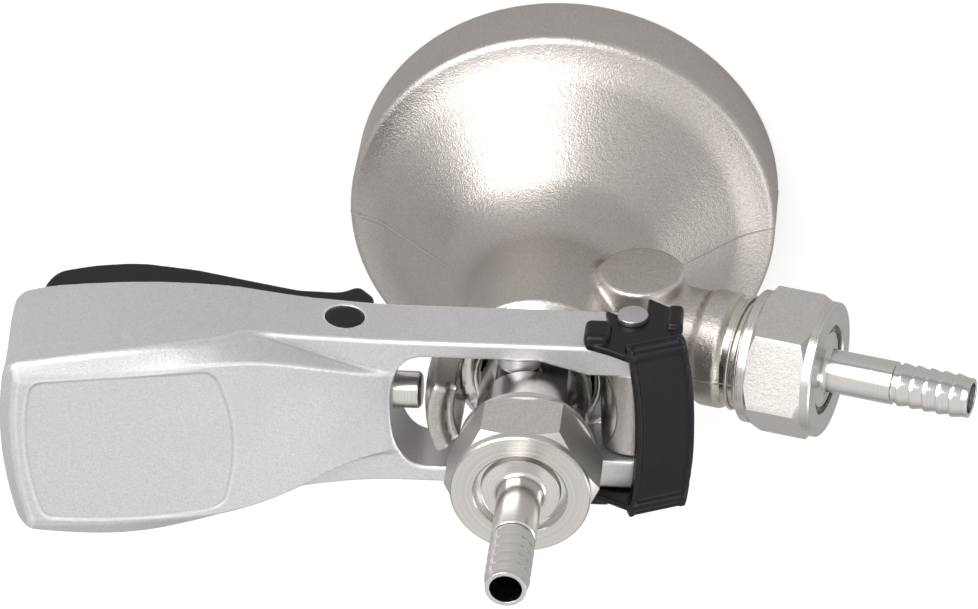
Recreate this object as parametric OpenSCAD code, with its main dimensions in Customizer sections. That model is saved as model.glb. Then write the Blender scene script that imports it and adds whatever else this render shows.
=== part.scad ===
// Keg coupler: a bell that locks on a keg's neck, a probe that a lever drives down into
// the keg's valve, a gas inlet at the side and a beer outlet on top.
// The origin is the centre of the bell's mouth. +Z runs up the probe's axis, the lever
// lies toward -X and the gas inlet toward +X.

/* [Bell] */
// Radius of the bell's rim
bell_r = 44.1; // [42:0.1:48]
// Height of the straight band at the rim
band_h = 14.3; // [13:0.1:16]
// Radius of the band's rounded shoulder
band_round = 1.2; // [0.8:0.1:2.5]
// Width of the flat step between the band and the cone
bell_step = 3.6; // [3:0.1:5]
// Slope of the cone above the level, in degrees
cone_angle = 45; // [42:1:48]
// Wall of the bell
bell_wall = 3.2; // [2.6:0.1:3.8]
// Radius of the hollow blend between the cone and the neck
neck_blend = 4; // [3:0.5:8]
// Number of bayonet lugs inside the rim
lug_count = 3; // [2:1:4]
// Reach of a bayonet lug from the bell's wall
lug_reach = 4.5; // [3:0.1:6]
// Height of a bayonet lug
lug_h = 4; // [3:0.1:5]
// Height of a bayonet lug's underside above the rim
lug_z = 2.5; // [1:0.1:4]
// Angle that one bayonet lug takes, in degrees
lug_arc = 26; // [15:1:40]

/* [Neck and seal seat] */
// Outer radius of the neck
neck_r = 17; // [16:0.1:17.5]
// Drop from the lever line to the neck's upper edge
neck_drop = 6.2; // [6:0.1:8]
// Bevel of the neck's upper edge
neck_bevel = 1.5; // [0.5:0.1:2]
// Outer radius of the short spigot on top of the neck
spigot_r = 12.7; // [12:0.1:12.8]
// Drop from the lever line to the top of the spigot
spigot_drop = 4; // [3.8:0.1:5]
// Radius of the probe's barrel
barrel_r = 11; // [10.5:0.1:11.4]
// Running clearance of the barrel in its bore
barrel_fit = 0.08; // [0.02:0.01:0.1]
// Bevel at the mouth of the barrel's bore
bore_bevel = 0.9; // [0.3:0.1:1.1]
// Height of the step where the bore narrows to the throat
throat_z = 38; // [34:0.5:40]
// Radius of the throat below that step
throat_r = 9.8; // [9.6:0.1:10.4]
// Outer radius of the seat that hangs inside the bell
seat_r = 19.5; // [19:0.1:21]
// Height of the seat's lower face
seat_z = 20; // [19:0.5:22]
// Inner radius of the bell seal
seal_in_r = 12.5; // [12:0.1:13]
// Wall of the seat outside the bell seal
seat_wall = 2.25; // [2:0.05:2.6]
// Depth of the bell seal's groove
seal_groove = 3.6; // [3:0.1:4.5]
// Length of the bell seal below the seat
seal_lip = 2.6; // [2:0.1:3.5]
// Play of the bell seal in its groove
seal_play = 0.05; // [0.02:0.01:0.1]

/* [Gas inlet] */
// Height at which the inlet's axis meets the probe's axis
gas_z = 48.55; // [48:0.05:50]
// Tilt of the inlet's axis above the level, in degrees
gas_tilt = 15.6; // [14:0.1:17]
// Reach of the inlet's end face along its axis
gas_reach = 53.57; // [52:0.01:55]
// Radius of the inlet where it leaves the neck
gas_neck_r = 10; // [9.6:0.1:10.5]
// Reach at which the inlet widens
gas_shoulder = 33; // [32:0.1:34]
// Radius of the widened part behind the thread
gas_barrel_r = 11.7; // [11.4:0.1:11.8]
// Reach at which the thread starts
thread_start = 36.2; // [35.8:0.1:37]
// Crest radius of the male threads
thread_r = 12; // [11.9:0.05:12.1]
// Pitch of the threads
thread_pitch = 1.82; // [1.7:0.01:2]
// Depth of the threads
thread_depth = 1; // [0.8:0.05:1.1]
// Radius of the gas bore
gas_bore_r = 4; // [3.5:0.1:4.4]
// Radius of the check valve's pocket in the inlet
pocket_r = 8.2; // [8:0.1:8.6]
// Depth of that pocket
pocket_depth = 8; // [7.5:0.1:9]
// Radius of the blank boss for a relief valve
boss_r = 8.5; // [8:0.1:9]
// Reach of the blank boss from the part's middle plane
boss_reach = 15; // [14:0.1:15.5]
// Reach of the boss's axis along the inlet
boss_along = 20.2; // [19.5:0.1:21]
// Bevel of the boss's edge
boss_bevel = 0.7; // [0.3:0.1:1]

/* [Hinge] */
// Height of the lever line, which the hinge pin, the plunger and the cam nubs share
lever_z = 76; // [75:0.1:79]
// Distance of the hinge pin from the probe's axis
hinge_x = 19.35; // [19:0.05:20]
// Radius of the hinge pin
hinge_r = 3; // [2.8:0.05:3.1]
// Half length of the hinge pin
hinge_half = 19.9; // [19.6:0.1:21]
// Running clearance of the hinge pin
hinge_fit = 0.05; // [0.02:0.01:0.1]
// Radius of the body's knuckle around the pin
knuckle_r = 6.5; // [6:0.1:6.7]
// Half length of the knuckle
knuckle_half = 9.8; // [9.4:0.1:9.9]
// Half thickness of the web under the knuckle
web_half = 8; // [6:0.1:9]

/* [Latch arm] */
// Outer radius of the latch arm, measured from the probe's axis
arm_out_r = 21.5; // [21.2:0.05:21.6]
// Inner radius of the latch arm
arm_in_r = 15.4; // [15:0.1:15.6]
// Rise of the arm's top above the lever line
arm_rise = 10; // [9:0.1:10.5]
// Drop of the arm's root below the lever line
arm_root = 20; // [18:0.5:22]
// Half angle that the arm takes around the neck, in degrees
arm_spread = 24; // [20:1:26]
// Depth of the V notch along the arm's top
notch_depth = 3; // [2:0.1:4]
// Radius of the latch socket in the arm's outer face
socket_r = 4; // [3.9:0.1:4.3]
// Depth of the latch socket
socket_depth = 3; // [2:0.1:3.5]

/* [Probe] */
// Height of the probe's tip with the lever down
tip_z = 8; // [7.5:0.1:9]
// Radius of the beer way through the probe
beer_r = 4; // [3.5:0.1:4.2]
// Radius of the probe's lower stem
stem_r = 7.2; // [7:0.1:7.4]
// Length of the barrel that slides in the bore
barrel_l = 17.5; // [17:0.1:18.5]
// Floor radius of the groove that the cam nubs ride in
groove_r = 5.2; // [5:0.1:5.25]
// Play of a cam nub in the groove, above and below
nub_play = 0.4; // [0.35:0.05:0.5]
// Radius of the polished neck above the groove
polish_r = 7.4; // [7:0.1:7.6]
// Rise of the probe's threaded head above the lever line, to its end face
head_rise = 27.3; // [27:0.1:29]
// Radius of the check ball
ball_r = 4.75; // [4.6:0.05:4.9]
// Radius of the ball's chamber
chamber_r = 5.8; // [5.7:0.05:6.2]
// Depth of the ball's chamber below the head's end face
chamber_depth = 13; // [12.5:0.1:14]
// Thickness of the ball retainer
retainer_h = 1.6; // [1.4:0.1:2]
// Cord radius of the probe's sealing rings
ring_cord = 1.1; // [1:0.05:1.2]
// Depth of a sealing ring's groove
ring_groove = 1.9; // [1.8:0.05:2]
// Length of the tip seal
tip_seal_h = 6; // [5:0.1:7]
// Outer radius of the tip seal
tip_seal_r = 9.2; // [9:0.1:9.4]

/* [Hose nuts] */
// Width of a nut across its flats
nut_af = 26; // [25.8:0.1:27]
// Radius across the corners of a nut, where a cone trims them
nut_corner_r = 15; // [14.6:0.1:15.2]
// Length of a nut
nut_l = 15.5; // [15:0.1:16.5]
// Radius of the round collar at a nut's front
collar_front_r = 13.5; // [13.1:0.05:13.7]
// Radius of the round collar at a nut's back
collar_back_r = 13.3; // [13.1:0.05:13.5]
// Length of each collar
collar_l = 2; // [1.5:0.1:2.2]
// Rise of the cone that trims a nut's corners
nut_trim = 1.1; // [0.6:0.1:1.6]
// Radius of the hole in a nut's lip
nut_hole_r = 8.9; // [8.6:0.1:9.2]
// Thickness of a nut's lip
nut_lip = 2.16; // [2:0.02:2.4]
// Clearance of a nut's thread on the male thread
nut_fit = 0.1; // [0.05:0.01:0.2]
// Turn of the gas nut about its axis, in degrees
gas_nut_turn = 9; // [0:1:29]

/* [Hose tails] */
// Outer radius of a hose tail
tail_r = 4.3; // [4.1:0.05:4.5]
// Bore radius of a hose tail
tail_bore_r = 3.05; // [2.8:0.05:3.2]
// Outer radius at a hose tail's tip
tail_tip_r = 3.9; // [3.6:0.05:4]
// Reach of a hose tail beyond its nut's face
tail_reach = 29; // [26:0.5:34]
// Number of barbs on a hose tail
barb_count = 5; // [3:1:6]
// Pitch of the barbs
barb_pitch = 2.7; // [2.2:0.1:3]
// Depth of the groove behind a barb
barb_depth = 0.45; // [0.3:0.05:0.6]
// Radius of a hose tail's hub inside the nut's hole
hub_r = 7.6; // [7.2:0.1:8]
// Radius of the flange that the nut's lip holds
flange_r = 10.4; // [10:0.1:11]
// Thickness of that flange
flange_h = 2.1; // [1.8:0.1:2.4]
// Thickness of the washer under the flange
washer_h = 1.5; // [1.2:0.1:1.8]
// Hole radius of the washer
washer_hole_r = 5; // [4.8:0.1:5.4]

/* [Lever] */
// Half width of the fork, over the outer faces of its tines
tine_out = 16.8; // [16.5:0.1:17.2]
// Half width of the gap between the tines
tine_in = 13.1; // [12.95:0.05:13.3]
// Half width of the gap between the tines' thick eyes
eye_in = 10.2; // [10.15:0.05:10.5]
// Depth of the fork below the lever line
tine_low = 5.4; // [5.2:0.1:5.6]
// Rise of the fork above the lever line
tine_high = 7.7; // [7.4:0.1:8]
// Reach of the gap between the tines from the probe's axis
window_reach = 27.7; // [27.4:0.1:28.5]
// Length of the gap's rounded end
window_round = 7.3; // [6:0.1:9]
// Distance from the probe's axis to the cam nubs
nub_x = 1.5; // [1:0.1:2]
// Radius of the cam nubs
nub_r = 3.3; // [3:0.1:3.4]
// Gap from the middle plane to the end of a cam nub
nub_in = 5.6; // [5.5:0.05:5.8]
// Reach of the handle's end from the probe's axis
lever_reach = 102.2; // [99:0.2:106]
// Half width of the handle where it is widest
grip_half = 22; // [21.6:0.1:23]
// Rise of the handle's crown above the lever line
grip_rise = 25; // [23:0.1:27]
// Wall of the handle
grip_wall = 3; // [2.6:0.1:3.2]
// Wall at the handle's end
grip_end_wall = 1.8; // [1.5:0.1:2]
// Thickness of the web that carries the plunger
plunger_web = 5.5; // [5:0.1:6]

/* [Trigger] */
// Distance from the probe's axis to the trigger's pivot
pivot_x = 36.9; // [36.6:0.1:37.5]
// Rise of the trigger's pivot above the lever line
pivot_rise = 0.4; // [0:0.1:1]
// Radius of the trigger's pivot studs
stud_r = 3.75; // [3.4:0.05:3.8]
// Running clearance of the pivot studs
stud_fit = 0.06; // [0.02:0.01:0.1]
// Half width of the trigger
trigger_half = 13.6; // [13:0.1:13.7]
// Wall of the trigger
trigger_wall = 2.2; // [1.8:0.1:2.4]
// Reach of the trigger's end from the probe's axis
trigger_reach = 98.6; // [96:0.1:98.9]
// Drop of the trigger's lowest point below the lever line
trigger_drop = 20.6; // [19:0.1:22]
// Radius of the trigger's pivot ears
ear_r = 5.4; // [5.2:0.1:5.5]
// Wire radius of the trigger's spring
return_wire = 0.5; // [0.4:0.05:0.6]
// Coil radius of the trigger's spring
return_r = 4.2; // [4:0.1:4.6]
// Turns of the trigger's spring
return_turns = 8; // [6:1:9]
// Distance from the probe's axis to the trigger's spring
return_x = 68; // [64:1:72]

/* [Plunger] */
// Radius of the plunger
plunger_r = 3.65; // [3.5:0.05:3.7]
// Distance from the probe's axis to the plunger's tip
plunger_tip = 22.3; // [22.25:0.05:22.5]
// Running clearance of the plunger in the web
plunger_fit = 0.05; // [0.02:0.01:0.1]
// Bevel of the plunger's tip
plunger_bevel = 0.6; // [0.3:0.1:0.9]
// Radius of the plunger's collar
plunger_collar_r = 4.9; // [4.7:0.1:5.2]
// Length of the plunger's collar
plunger_collar_l = 1.8; // [1.5:0.1:2.2]
// Radius of the plunger's shank
shank_r = 2.05; // [1.8:0.05:2.2]
// Space for the plunger's spring
spring_room = 5.8; // [5.4:0.1:6.4]
// Wire radius of the plunger's spring
catch_wire = 0.35; // [0.3:0.05:0.4]
// Coil radius of the plunger's spring
catch_r = 3.2; // [3:0.1:3.4]
// Turns of the plunger's spring
catch_turns = 4; // [3:1:4]
// Thickness of the rib that the plunger's spring pushes on
rib_t = 2; // [1.6:0.1:2.2]
// Thickness of the pull tab on the shank
tab_t = 2; // [1.6:0.1:2.2]
// Half width of the pull tab
tab_half = 3.2; // [2.8:0.1:3.6]
// Drop of the pull tab below the lever line
tab_drop = 8.2; // [7.6:0.1:8.3]

/* [Pin clip] */
// Thickness of the clip's legs
leg_t = 1.6; // [1.4:0.1:1.8]
// Half width of the clip over its strap
clip_half = 20.4; // [20:0.1:20.6]
// Thickness of the clip's strap
strap_t = 2; // [1.6:0.1:2.2]
// Width of the clip's strap
strap_w = 11.8; // [10:0.1:12.5]
// Slope of the clip's strap, in degrees
strap_slope = 23; // [18:1:26]
// Bulge of the strap away from the probe at its middle
strap_bulge = 2; // [1:0.1:2.5]
// Depth of the pin's grooves that the clip sits in
pin_groove = 0.5; // [0.4:0.05:0.7]

/* [Hidden] */

// Gap between pieces of different bodies that pass each other
body_gap = 0.3;
// How far a cut runs past the face that it opens
overrun = 1;
// Gap between the parts that lie side by side without touching
seat_gap = 0.02;

$fn = 96;
fine_fn = 48;
hidden_fn = 32;
wire_sides = 6;
rings_per_turn = 8;

// The bell's cone is the line where direction . point = cone_k
cone_n = [sin(cone_angle), cos(cone_angle)];
cone_foot_r = bell_r - bell_step;
cone_k = cone_n * [cone_foot_r, band_h];
blend_z = (cone_k + neck_blend - cone_n[0] * (neck_r + neck_blend)) / cone_n[1];
inner_k = cone_k - bell_wall;
bell_in_r = bell_r - bell_wall;
seal_out_r = seat_r - seat_wall - seal_play;
function inner_cone_z(r) = (inner_k - cone_n[0] * r) / cone_n[1];

neck_top = lever_z - neck_drop;
spigot_top = lever_z - spigot_drop;
bore_r = barrel_r + barrel_fit;

groove_h = 2 * (nub_r + nub_play);
groove_low = lever_z - groove_h / 2;
groove_top = lever_z + groove_h / 2;
barrel_low = groove_low - barrel_l;
head_top = lever_z + head_rise;
head_l = nut_l - nut_lip - flange_h - washer_h - seat_gap;
head_low = head_top - head_l;
chamber_low = head_top - chamber_depth;
// The ball rests on the edge between the beer way and the chamber's cone
seat_cone = chamber_r - beer_r;
ball_z = chamber_low - seat_cone + sqrt(ball_r * ball_r - beer_r * beer_r) + seat_gap;
ring_h = 2 * ring_cord;
ring_low_z = barrel_low + 0.75 * ring_h;
ring_high_z = ring_low_z + 1.4 * ring_h;
ring_seat_r = barrel_r - ring_groove;

window_half = tine_in;
web_x = -window_reach - plunger_web;
collar_x = web_x - seat_gap;
spring_x = collar_x - plunger_collar_l;
rib_x = spring_x - spring_room;
tab_x = rib_x - rib_t - 1.2 * tab_t;
pivot_z = lever_z + pivot_rise;
grip_start = -window_reach - window_round / 4;
grip_l = lever_reach + grip_start;
eye_r = (tine_low + tine_high) / 2;
eye_z = lever_z + (tine_high - tine_low) / 2;

module on_gas_axis() translate([0, 0, gas_z]) rotate([0, 90 - gas_tilt, 0]) children();
module on_hinge() translate([hinge_x, 0, lever_z]) rotate([90, 0, 0]) children();
module both_sides() {
  children();
  mirror([0, 1, 0]) children();
}
function arc(centre, r, from, to, steps) =
  [for (i = [0:steps]) centre + r * [cos(from + (to - from) * i / steps), sin(from + (to - from) * i / steps)]];
function at_x(x, points) = [for (i = [len(points) - 1:-1:0]) [x, points[i][0], points[i][1]]];
function mirrored(half) = concat(half, [for (i = [len(half) - 1:-1:0]) if (half[i][0] > 0) [-half[i][0], half[i][1]]]);

// A closed skin through rings of points that have the same number of points each
module loft(rings) {
  n = len(rings[0]);
  m = len(rings);
  points = [for (ring = rings) each ring];
  sides = [for (i = [0:m - 2]) for (j = [0:n - 1]) each [
    [i * n + j, (i + 1) * n + j, i * n + (j + 1) % n],
    [(i + 1) * n + j, (i + 1) * n + (j + 1) % n, i * n + (j + 1) % n]]];
  first_cap = [for (j = [1:n - 2]) [0, j, j + 1]];
  last_cap = [for (j = [1:n - 2]) [(m - 1) * n, (m - 1) * n + j + 1, (m - 1) * n + j]];
  polyhedron(points, concat(sides, first_cap, last_cap), convexity = 6);
}

// A round wire wound along +Z from 0 to length
module coil(r, wire, length, turns) {
  steps = turns * rings_per_turn;
  climb = (length - 2 * wire) / steps;
  pitch_angle = atan2(climb * rings_per_turn, 2 * PI * r);
  loft([for (i = [0:steps])
    let (a = 360 * i / rings_per_turn, out = [cos(a), sin(a), 0],
         up = [sin(a) * sin(pitch_angle), -cos(a) * sin(pitch_angle), cos(pitch_angle)])
    [for (k = [wire_sides - 1:-1:0])
      r * out + [0, 0, wire + climb * i]
      + wire * (cos(360 * k / wire_sides) * out + sin(360 * k / wire_sides) * up)]]);
}

// Crests and roots of a thread as closed rings, from the root at "low" to "high"
function thread_outline(crest, low, high) =
  let (turns = floor((high - low) / thread_pitch), step = (high - low) / turns)
  [for (i = [0:turns - 1]) each [
    [crest - thread_depth, low + step * i],
    [crest, low + step * (i + 0.35)],
    [crest, low + step * (i + 0.65)],
    [crest - thread_depth, low + step * (i + 1)]]];

module ring(outer, inner, height) {
  difference() {
    cylinder(r = outer, h = height);
    translate([0, 0, -overrun]) cylinder(r = inner, h = height + 2 * overrun);
  }
}

// A washer, its flanged hose tail and the nut that holds it are drawn from the end face of the
// threaded head that they close, with +Z running out along the tail
module washer() {
  $fn = fine_fn;
  translate([0, 0, seat_gap]) ring(flange_r, washer_hole_r, washer_h - seat_gap);
}

flange_top = washer_h + flange_h;
face = flange_top + nut_lip;
tail_end = face + tail_reach;
barbs_low = tail_end - barb_pitch * (barb_count + 0.3);

module tail() {
  $fn = fine_fn;
  hub_top = face - nut_lip / 4;
  fillet = tail_r / 4;
  barbs = [for (i = [0:barb_count - 1]) each [
    [tail_r - barb_depth, barbs_low + barb_pitch * i],
    [tail_r, barbs_low + barb_pitch * i],
    [tail_r, barbs_low + barb_pitch * (i + 0.25)],
    [tail_r - barb_depth, barbs_low + barb_pitch * (i + 1)]]];
  outline = concat(
    [[tail_bore_r, washer_h], [flange_r, washer_h], [flange_r, flange_top - seat_gap],
     [hub_r, flange_top - seat_gap], [hub_r, hub_top]],
    arc([tail_r + fillet, hub_top + fillet], fillet, 270, 180, 4),
    [[tail_r, barbs_low - barb_pitch / 2], [tail_r - barb_depth, barbs_low - barb_pitch / 2]],
    barbs,
    [[tail_r - barb_depth / 2, tail_end - barb_pitch], [tail_tip_r, tail_end], [tail_bore_r, tail_end]]);
  rotate_extrude() polygon(outline);
}

module nut() {
  nut_low = face - nut_l;
  hex_l = nut_l - 2 * collar_l;
  collars = max(collar_front_r, collar_back_r);
  difference() {
    union() {
      translate([0, 0, nut_low]) cylinder(r = collar_back_r, h = nut_l / 2);
      translate([0, 0, face - nut_l / 2]) cylinder(r = collar_front_r, h = nut_l / 2);
      intersection() {
        translate([0, 0, nut_low + collar_l]) cylinder(r = nut_af / sqrt(3), h = hex_l, $fn = 6);
        rotate_extrude() polygon([
          [0, nut_low + collar_l], [collars, nut_low + collar_l],
          [nut_corner_r, nut_low + collar_l + nut_trim], [nut_corner_r, face - collar_l - nut_trim],
          [collars, face - collar_l], [0, face - collar_l]]);
      }
    }
    translate([0, 0, nut_low - overrun]) cylinder(r = thread_r + nut_fit, h = flange_top - nut_low + overrun);
    translate([0, 0, nut_low]) cylinder(r = nut_hole_r, h = nut_l + overrun);
  }
}

module bell_outline() {
  half = concat(
    [[bell_in_r, 0], [bell_r, 0]],
    arc([bell_r - band_round, band_h - band_round], band_round, 0, 90, 6),
    [[cone_foot_r, band_h]],
    arc([neck_r + neck_blend, blend_z], neck_blend, 270 - cone_angle, 180, 8),
    [[neck_r, neck_top - neck_bevel], [neck_r - neck_bevel, neck_top],
     [spigot_r, neck_top], [spigot_r, spigot_top],
     [bore_r + bore_bevel, spigot_top], [bore_r, spigot_top - bore_bevel],
     [bore_r, throat_z], [throat_r, throat_z - (bore_r - throat_r)], [throat_r, seat_z],
     [seal_in_r - seal_play, seat_z], [seal_in_r - seal_play, seat_z + seal_groove],
     [seal_out_r + seal_play, seat_z + seal_groove], [seal_out_r + seal_play, seat_z],
     [seat_r, seat_z], [seat_r, inner_cone_z(seat_r)], [bell_in_r, inner_cone_z(bell_in_r)]]);
  polygon(half);
}

module bayonet_lugs() {
  for (i = [0:lug_count - 1])
    rotate([0, 0, 360 * (i + 0.5) / lug_count - lug_arc / 2])
      rotate_extrude(angle = lug_arc)
        translate([bell_in_r - lug_reach, lug_z]) square([lug_reach + bell_wall / 2, lug_h]);
}

module gas_inlet() {
  rise = gas_barrel_r - gas_neck_r;
  root = arm_in_r;
  on_gas_axis() rotate_extrude() polygon(concat(
    [[0, 0], [gas_neck_r + rise, 0], [gas_neck_r + rise, root], [gas_neck_r, root + 3 * rise], [gas_neck_r, gas_shoulder]],
    arc([gas_barrel_r - rise, gas_shoulder + rise], rise, -60, 0, 4),
    [[gas_barrel_r, thread_start]],
    thread_outline(thread_r, thread_start, gas_reach - thread_pitch / 2),
    [[thread_r - thread_depth, gas_reach], [0, gas_reach]]));
}

module relief_boss() {
  on_gas_axis() translate([0, 0, boss_along]) rotate([-90, 0, 0]) {
    cylinder(r = boss_r, h = boss_reach - boss_bevel);
    cylinder(r = boss_r - boss_bevel, h = boss_reach);
  }
}

module knuckle() {
  on_hinge() cylinder(r = knuckle_r, h = 2 * knuckle_half, center = true);
  inlet_z = gas_z + hinge_x * tan(gas_tilt);
  rotate([90, 0, 0]) linear_extrude(2 * web_half, center = true) polygon([
    [hinge_x - 0.75 * knuckle_r, lever_z - 0.6 * knuckle_r], [hinge_x - knuckle_r, inlet_z],
    [hinge_x + knuckle_r, inlet_z], [hinge_x + 0.75 * knuckle_r, lever_z - 0.6 * knuckle_r]]);
}

module latch_arm() {
  low = lever_z - arm_root;
  top = lever_z + arm_rise;
  depth = arm_out_r - arm_in_r;
  // The outer face curves round the hinge, so that the plunger's tip can pass it
  swing_r = hinge_x + arm_out_r;
  outer = [for (share = [-0.5:0.25:1]) let (h = share * arm_rise) [sqrt(swing_r * swing_r - h * h) - hinge_x, lever_z + h]];
  crest = outer[len(outer) - 1][0];
  intersection() {
    rotate([0, 0, 180 - arm_spread]) rotate_extrude(angle = 2 * arm_spread) polygon(concat(
      [[arm_in_r - depth / 3, low], [neck_r, low], [arm_out_r - depth / 3, low + depth]],
      outer,
      [[crest - depth / 4, top], [arm_in_r + depth / 3, top - notch_depth], [arm_in_r + depth / 6, top],
       [arm_in_r, top - depth / 6], [arm_in_r, neck_top], [arm_in_r - depth / 3, neck_top]]));
    translate([-arm_out_r, -arm_out_r, low]) cube([arm_out_r, 2 * arm_out_r, top - low]);
  }
}

module body() color("#b9b0a6") {
  $fn = 128;
  difference() {
    union() {
      difference() {
        union() {
          rotate_extrude() bell_outline();
          bayonet_lugs();
          gas_inlet();
          relief_boss();
          knuckle();
          latch_arm();
        }
        translate([0, 0, throat_z - (bore_r - throat_r)]) cylinder(r1 = throat_r, r2 = bore_r, h = bore_r - throat_r);
        translate([0, 0, throat_z]) cylinder(r = bore_r, h = lever_z - throat_z);
      }
    }
    on_gas_axis() {
      cylinder(r = gas_bore_r, h = gas_reach);
      translate([0, 0, gas_reach - pocket_depth]) cylinder(r = pocket_r, h = pocket_depth + overrun);
    }
    on_hinge() cylinder(r = hinge_r + hinge_fit, h = 2 * hinge_half, center = true);
    translate([-arm_out_r - overrun, 0, lever_z]) rotate([0, 90, 0])
      cylinder(r = socket_r, h = socket_depth + overrun);
  }
}

module bell_seal() color("#2b2b2d") {
  $fn = fine_fn;
  bead = (seal_out_r - seal_in_r) / 2;
  mid = seal_in_r + bead;
  top = seat_z + seal_groove - seat_gap;
  rotate_extrude() polygon(concat(
    [[seal_out_r, top], [seal_in_r, top], [seal_in_r, seat_z - seal_lip + bead / 2]],
    arc([mid, seat_z - seal_lip + bead / 2], bead, 180, 360, 8)));
}

module probe() color("#c9c7c4") {
  seal_top = tip_z + tip_seal_h;
  barrel_bevel = barrel_fit * 8;
  ring_half = ring_cord + seat_gap;
  outline = concat(
    [[beer_r, tip_z], [beer_r + barrel_bevel, tip_z], [stem_r - 1.2 * barrel_bevel, tip_z],
     [stem_r - barrel_bevel, seal_top], [stem_r, seal_top], [stem_r, barrel_low - (barrel_r - stem_r)],
     [barrel_r, barrel_low]],
    [for (z = [ring_low_z, ring_high_z]) each [
      [barrel_r, z - ring_half], [ring_seat_r, z - ring_half], [ring_seat_r, z + ring_half], [barrel_r, z + ring_half]]],
    [[barrel_r, groove_low - barrel_bevel], [barrel_r - barrel_bevel, groove_low], [groove_r, groove_low],
     [groove_r, groove_top], [polish_r - barrel_bevel, groove_top], [polish_r, groove_top + barrel_bevel],
     [polish_r, head_low - seat_gap], [thread_r - thread_depth, head_low - seat_gap]],
    thread_outline(thread_r, head_low, head_top - thread_pitch / 2),
    [[thread_r - thread_depth, head_top], [chamber_r, head_top], [chamber_r, chamber_low],
     [beer_r, chamber_low - seat_cone]]);
  rotate_extrude() polygon(outline);
}

module sealing_ring() rotate_extrude() translate([ring_seat_r + ring_cord, 0]) intersection() {
  circle(r = ring_cord, $fn = hidden_fn);
  translate([-ring_cord, -ring_cord]) square([ring_groove - seat_gap, 2 * ring_cord]);
}
module probe_ring_lower() color("#1f1f20") translate([0, 0, ring_low_z]) sealing_ring();
module probe_ring_upper() color("#1f1f20") translate([0, 0, ring_high_z]) sealing_ring();

module tip_seal() color("#2b2b2d") {
  $fn = fine_fn;
  inner = stem_r - barrel_fit * 8 + barrel_fit;
  bead = (tip_seal_r - inner) / 2;
  rotate_extrude() polygon(concat(
    [[inner, tip_z], [tip_seal_r - bead, tip_z]],
    arc([tip_seal_r - bead, tip_z + bead], bead, 270, 360, 4),
    [[tip_seal_r, tip_z + tip_seal_h / 2], [stem_r, tip_z + tip_seal_h - seat_gap], [inner, tip_z + tip_seal_h - seat_gap]]));
}

module check_ball() color("#e9e6df") translate([0, 0, ball_z]) sphere(r = ball_r, $fn = fine_fn);

module ball_retainer() color("#d8d4ca") {
  $fn = fine_fn;
  bar = chamber_r / 4;
  translate([0, 0, head_top - retainer_h]) {
    ring(chamber_r - seat_gap, 0.75 * chamber_r, retainer_h - seat_gap);
    intersection() {
      cylinder(r = chamber_r - seat_gap, h = retainer_h - seat_gap);
      for (a = [0, 90]) rotate([0, 0, a]) translate([-bar / 2, -chamber_r, 0]) cube([bar, 2 * chamber_r, retainer_h / 2]);
    }
  }
}

module beer_washer() color("#3a3a3c") translate([0, 0, head_top]) washer();
module beer_tail() color("#d4d0cb") translate([0, 0, head_top]) tail();
module beer_nut() color("#cfcac4") translate([0, 0, head_top]) nut();

module gas_valve() color("#2b2b2d") on_gas_axis() {
  $fn = fine_fn;
  skirt = pocket_depth / 4;
  wall = pocket_r / 8;
  translate([0, 0, gas_reach - pocket_depth + seat_gap]) rotate_extrude() polygon([
    [0, skirt / 2], [gas_bore_r / 2, skirt / 2], [gas_bore_r, skirt], [pocket_r - seat_gap, skirt],
    [pocket_r - seat_gap, skirt + wall], [gas_bore_r, skirt + wall], [gas_bore_r / 2, skirt / 2 + wall],
    [0, skirt / 2 + wall]]);
}

module gas_valve_seat() color("#e4e0d6") on_gas_axis() {
  $fn = fine_fn;
  skirt = pocket_depth / 4 + pocket_r / 8 + 2 * seat_gap;
  translate([0, 0, gas_reach - pocket_depth + skirt])
    ring(pocket_r - seat_gap, gas_bore_r, pocket_depth - skirt - seat_gap);
}

module gas_washer() color("#3a3a3c") on_gas_axis() translate([0, 0, gas_reach]) washer();
module gas_tail() color("#d4d0cb") on_gas_axis() translate([0, 0, gas_reach]) tail();
module gas_nut() color("#cfcac4") on_gas_axis() translate([0, 0, gas_reach]) rotate([0, 0, gas_nut_turn]) nut();

// Stations along the handle from the fork to its end. Each row gives the place as a share of the
// handle's length, the half width as a share of its widest, and the depth below the lever line,
// the edge, the crown and the crown's flat width as shares of the rise, the rise, the rise and
// the widest half width.
grip_shares = [
  [0.00, 0.762, -0.215, 0.308, 0.308, 0.10],
  [0.10, 0.785, -0.210, 0.330, 0.400, 0.20],
  [0.21, 0.822, -0.200, 0.372, 0.540, 0.36],
  [0.31, 0.865, -0.200, 0.490, 0.650, 0.52],
  [0.40, 0.915, -0.190, 0.600, 0.740, 0.66],
  [0.50, 0.965, -0.150, 0.700, 0.830, 0.74],
  [0.60, 0.998, -0.130, 0.800, 0.895, 0.76],
  [0.70, 1.000, -0.110, 0.865, 0.945, 0.75],
  [0.80, 0.972, -0.100, 0.905, 0.985, 0.73],
  [0.90, 0.925, -0.100, 0.920, 1.000, 0.70],
  [0.955, 0.870, -0.070, 0.915, 0.990, 0.66],
  [0.985, 0.790, -0.050, 0.870, 0.940, 0.58],
  [1.00, 0.620, 0.000, 0.740, 0.800, 0.42]];

function grip_section(row, inset) =
  let (hw = grip_half * row[1] - inset, low = lever_z + grip_rise * row[2], edge = lever_z + grip_rise * row[3] - inset,
       crown = lever_z + grip_rise * row[4] - inset, flat = grip_half * row[5], corner = grip_wall * 0.8)
  mirrored([[hw * 0.985, low - (inset > 0 ? grip_rise : 0)], [hw, edge - corner], [hw - 0.3 * corner, edge - 0.3 * corner],
    [hw - corner, edge], [min(flat, hw - 1.5 * corner), crown], [0, crown + 0.1 * corner]]);

module handle_skin() {
  loft([for (row = grip_shares) at_x(grip_start - row[0] * grip_l, grip_section(row, 0))]);
}

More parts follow.
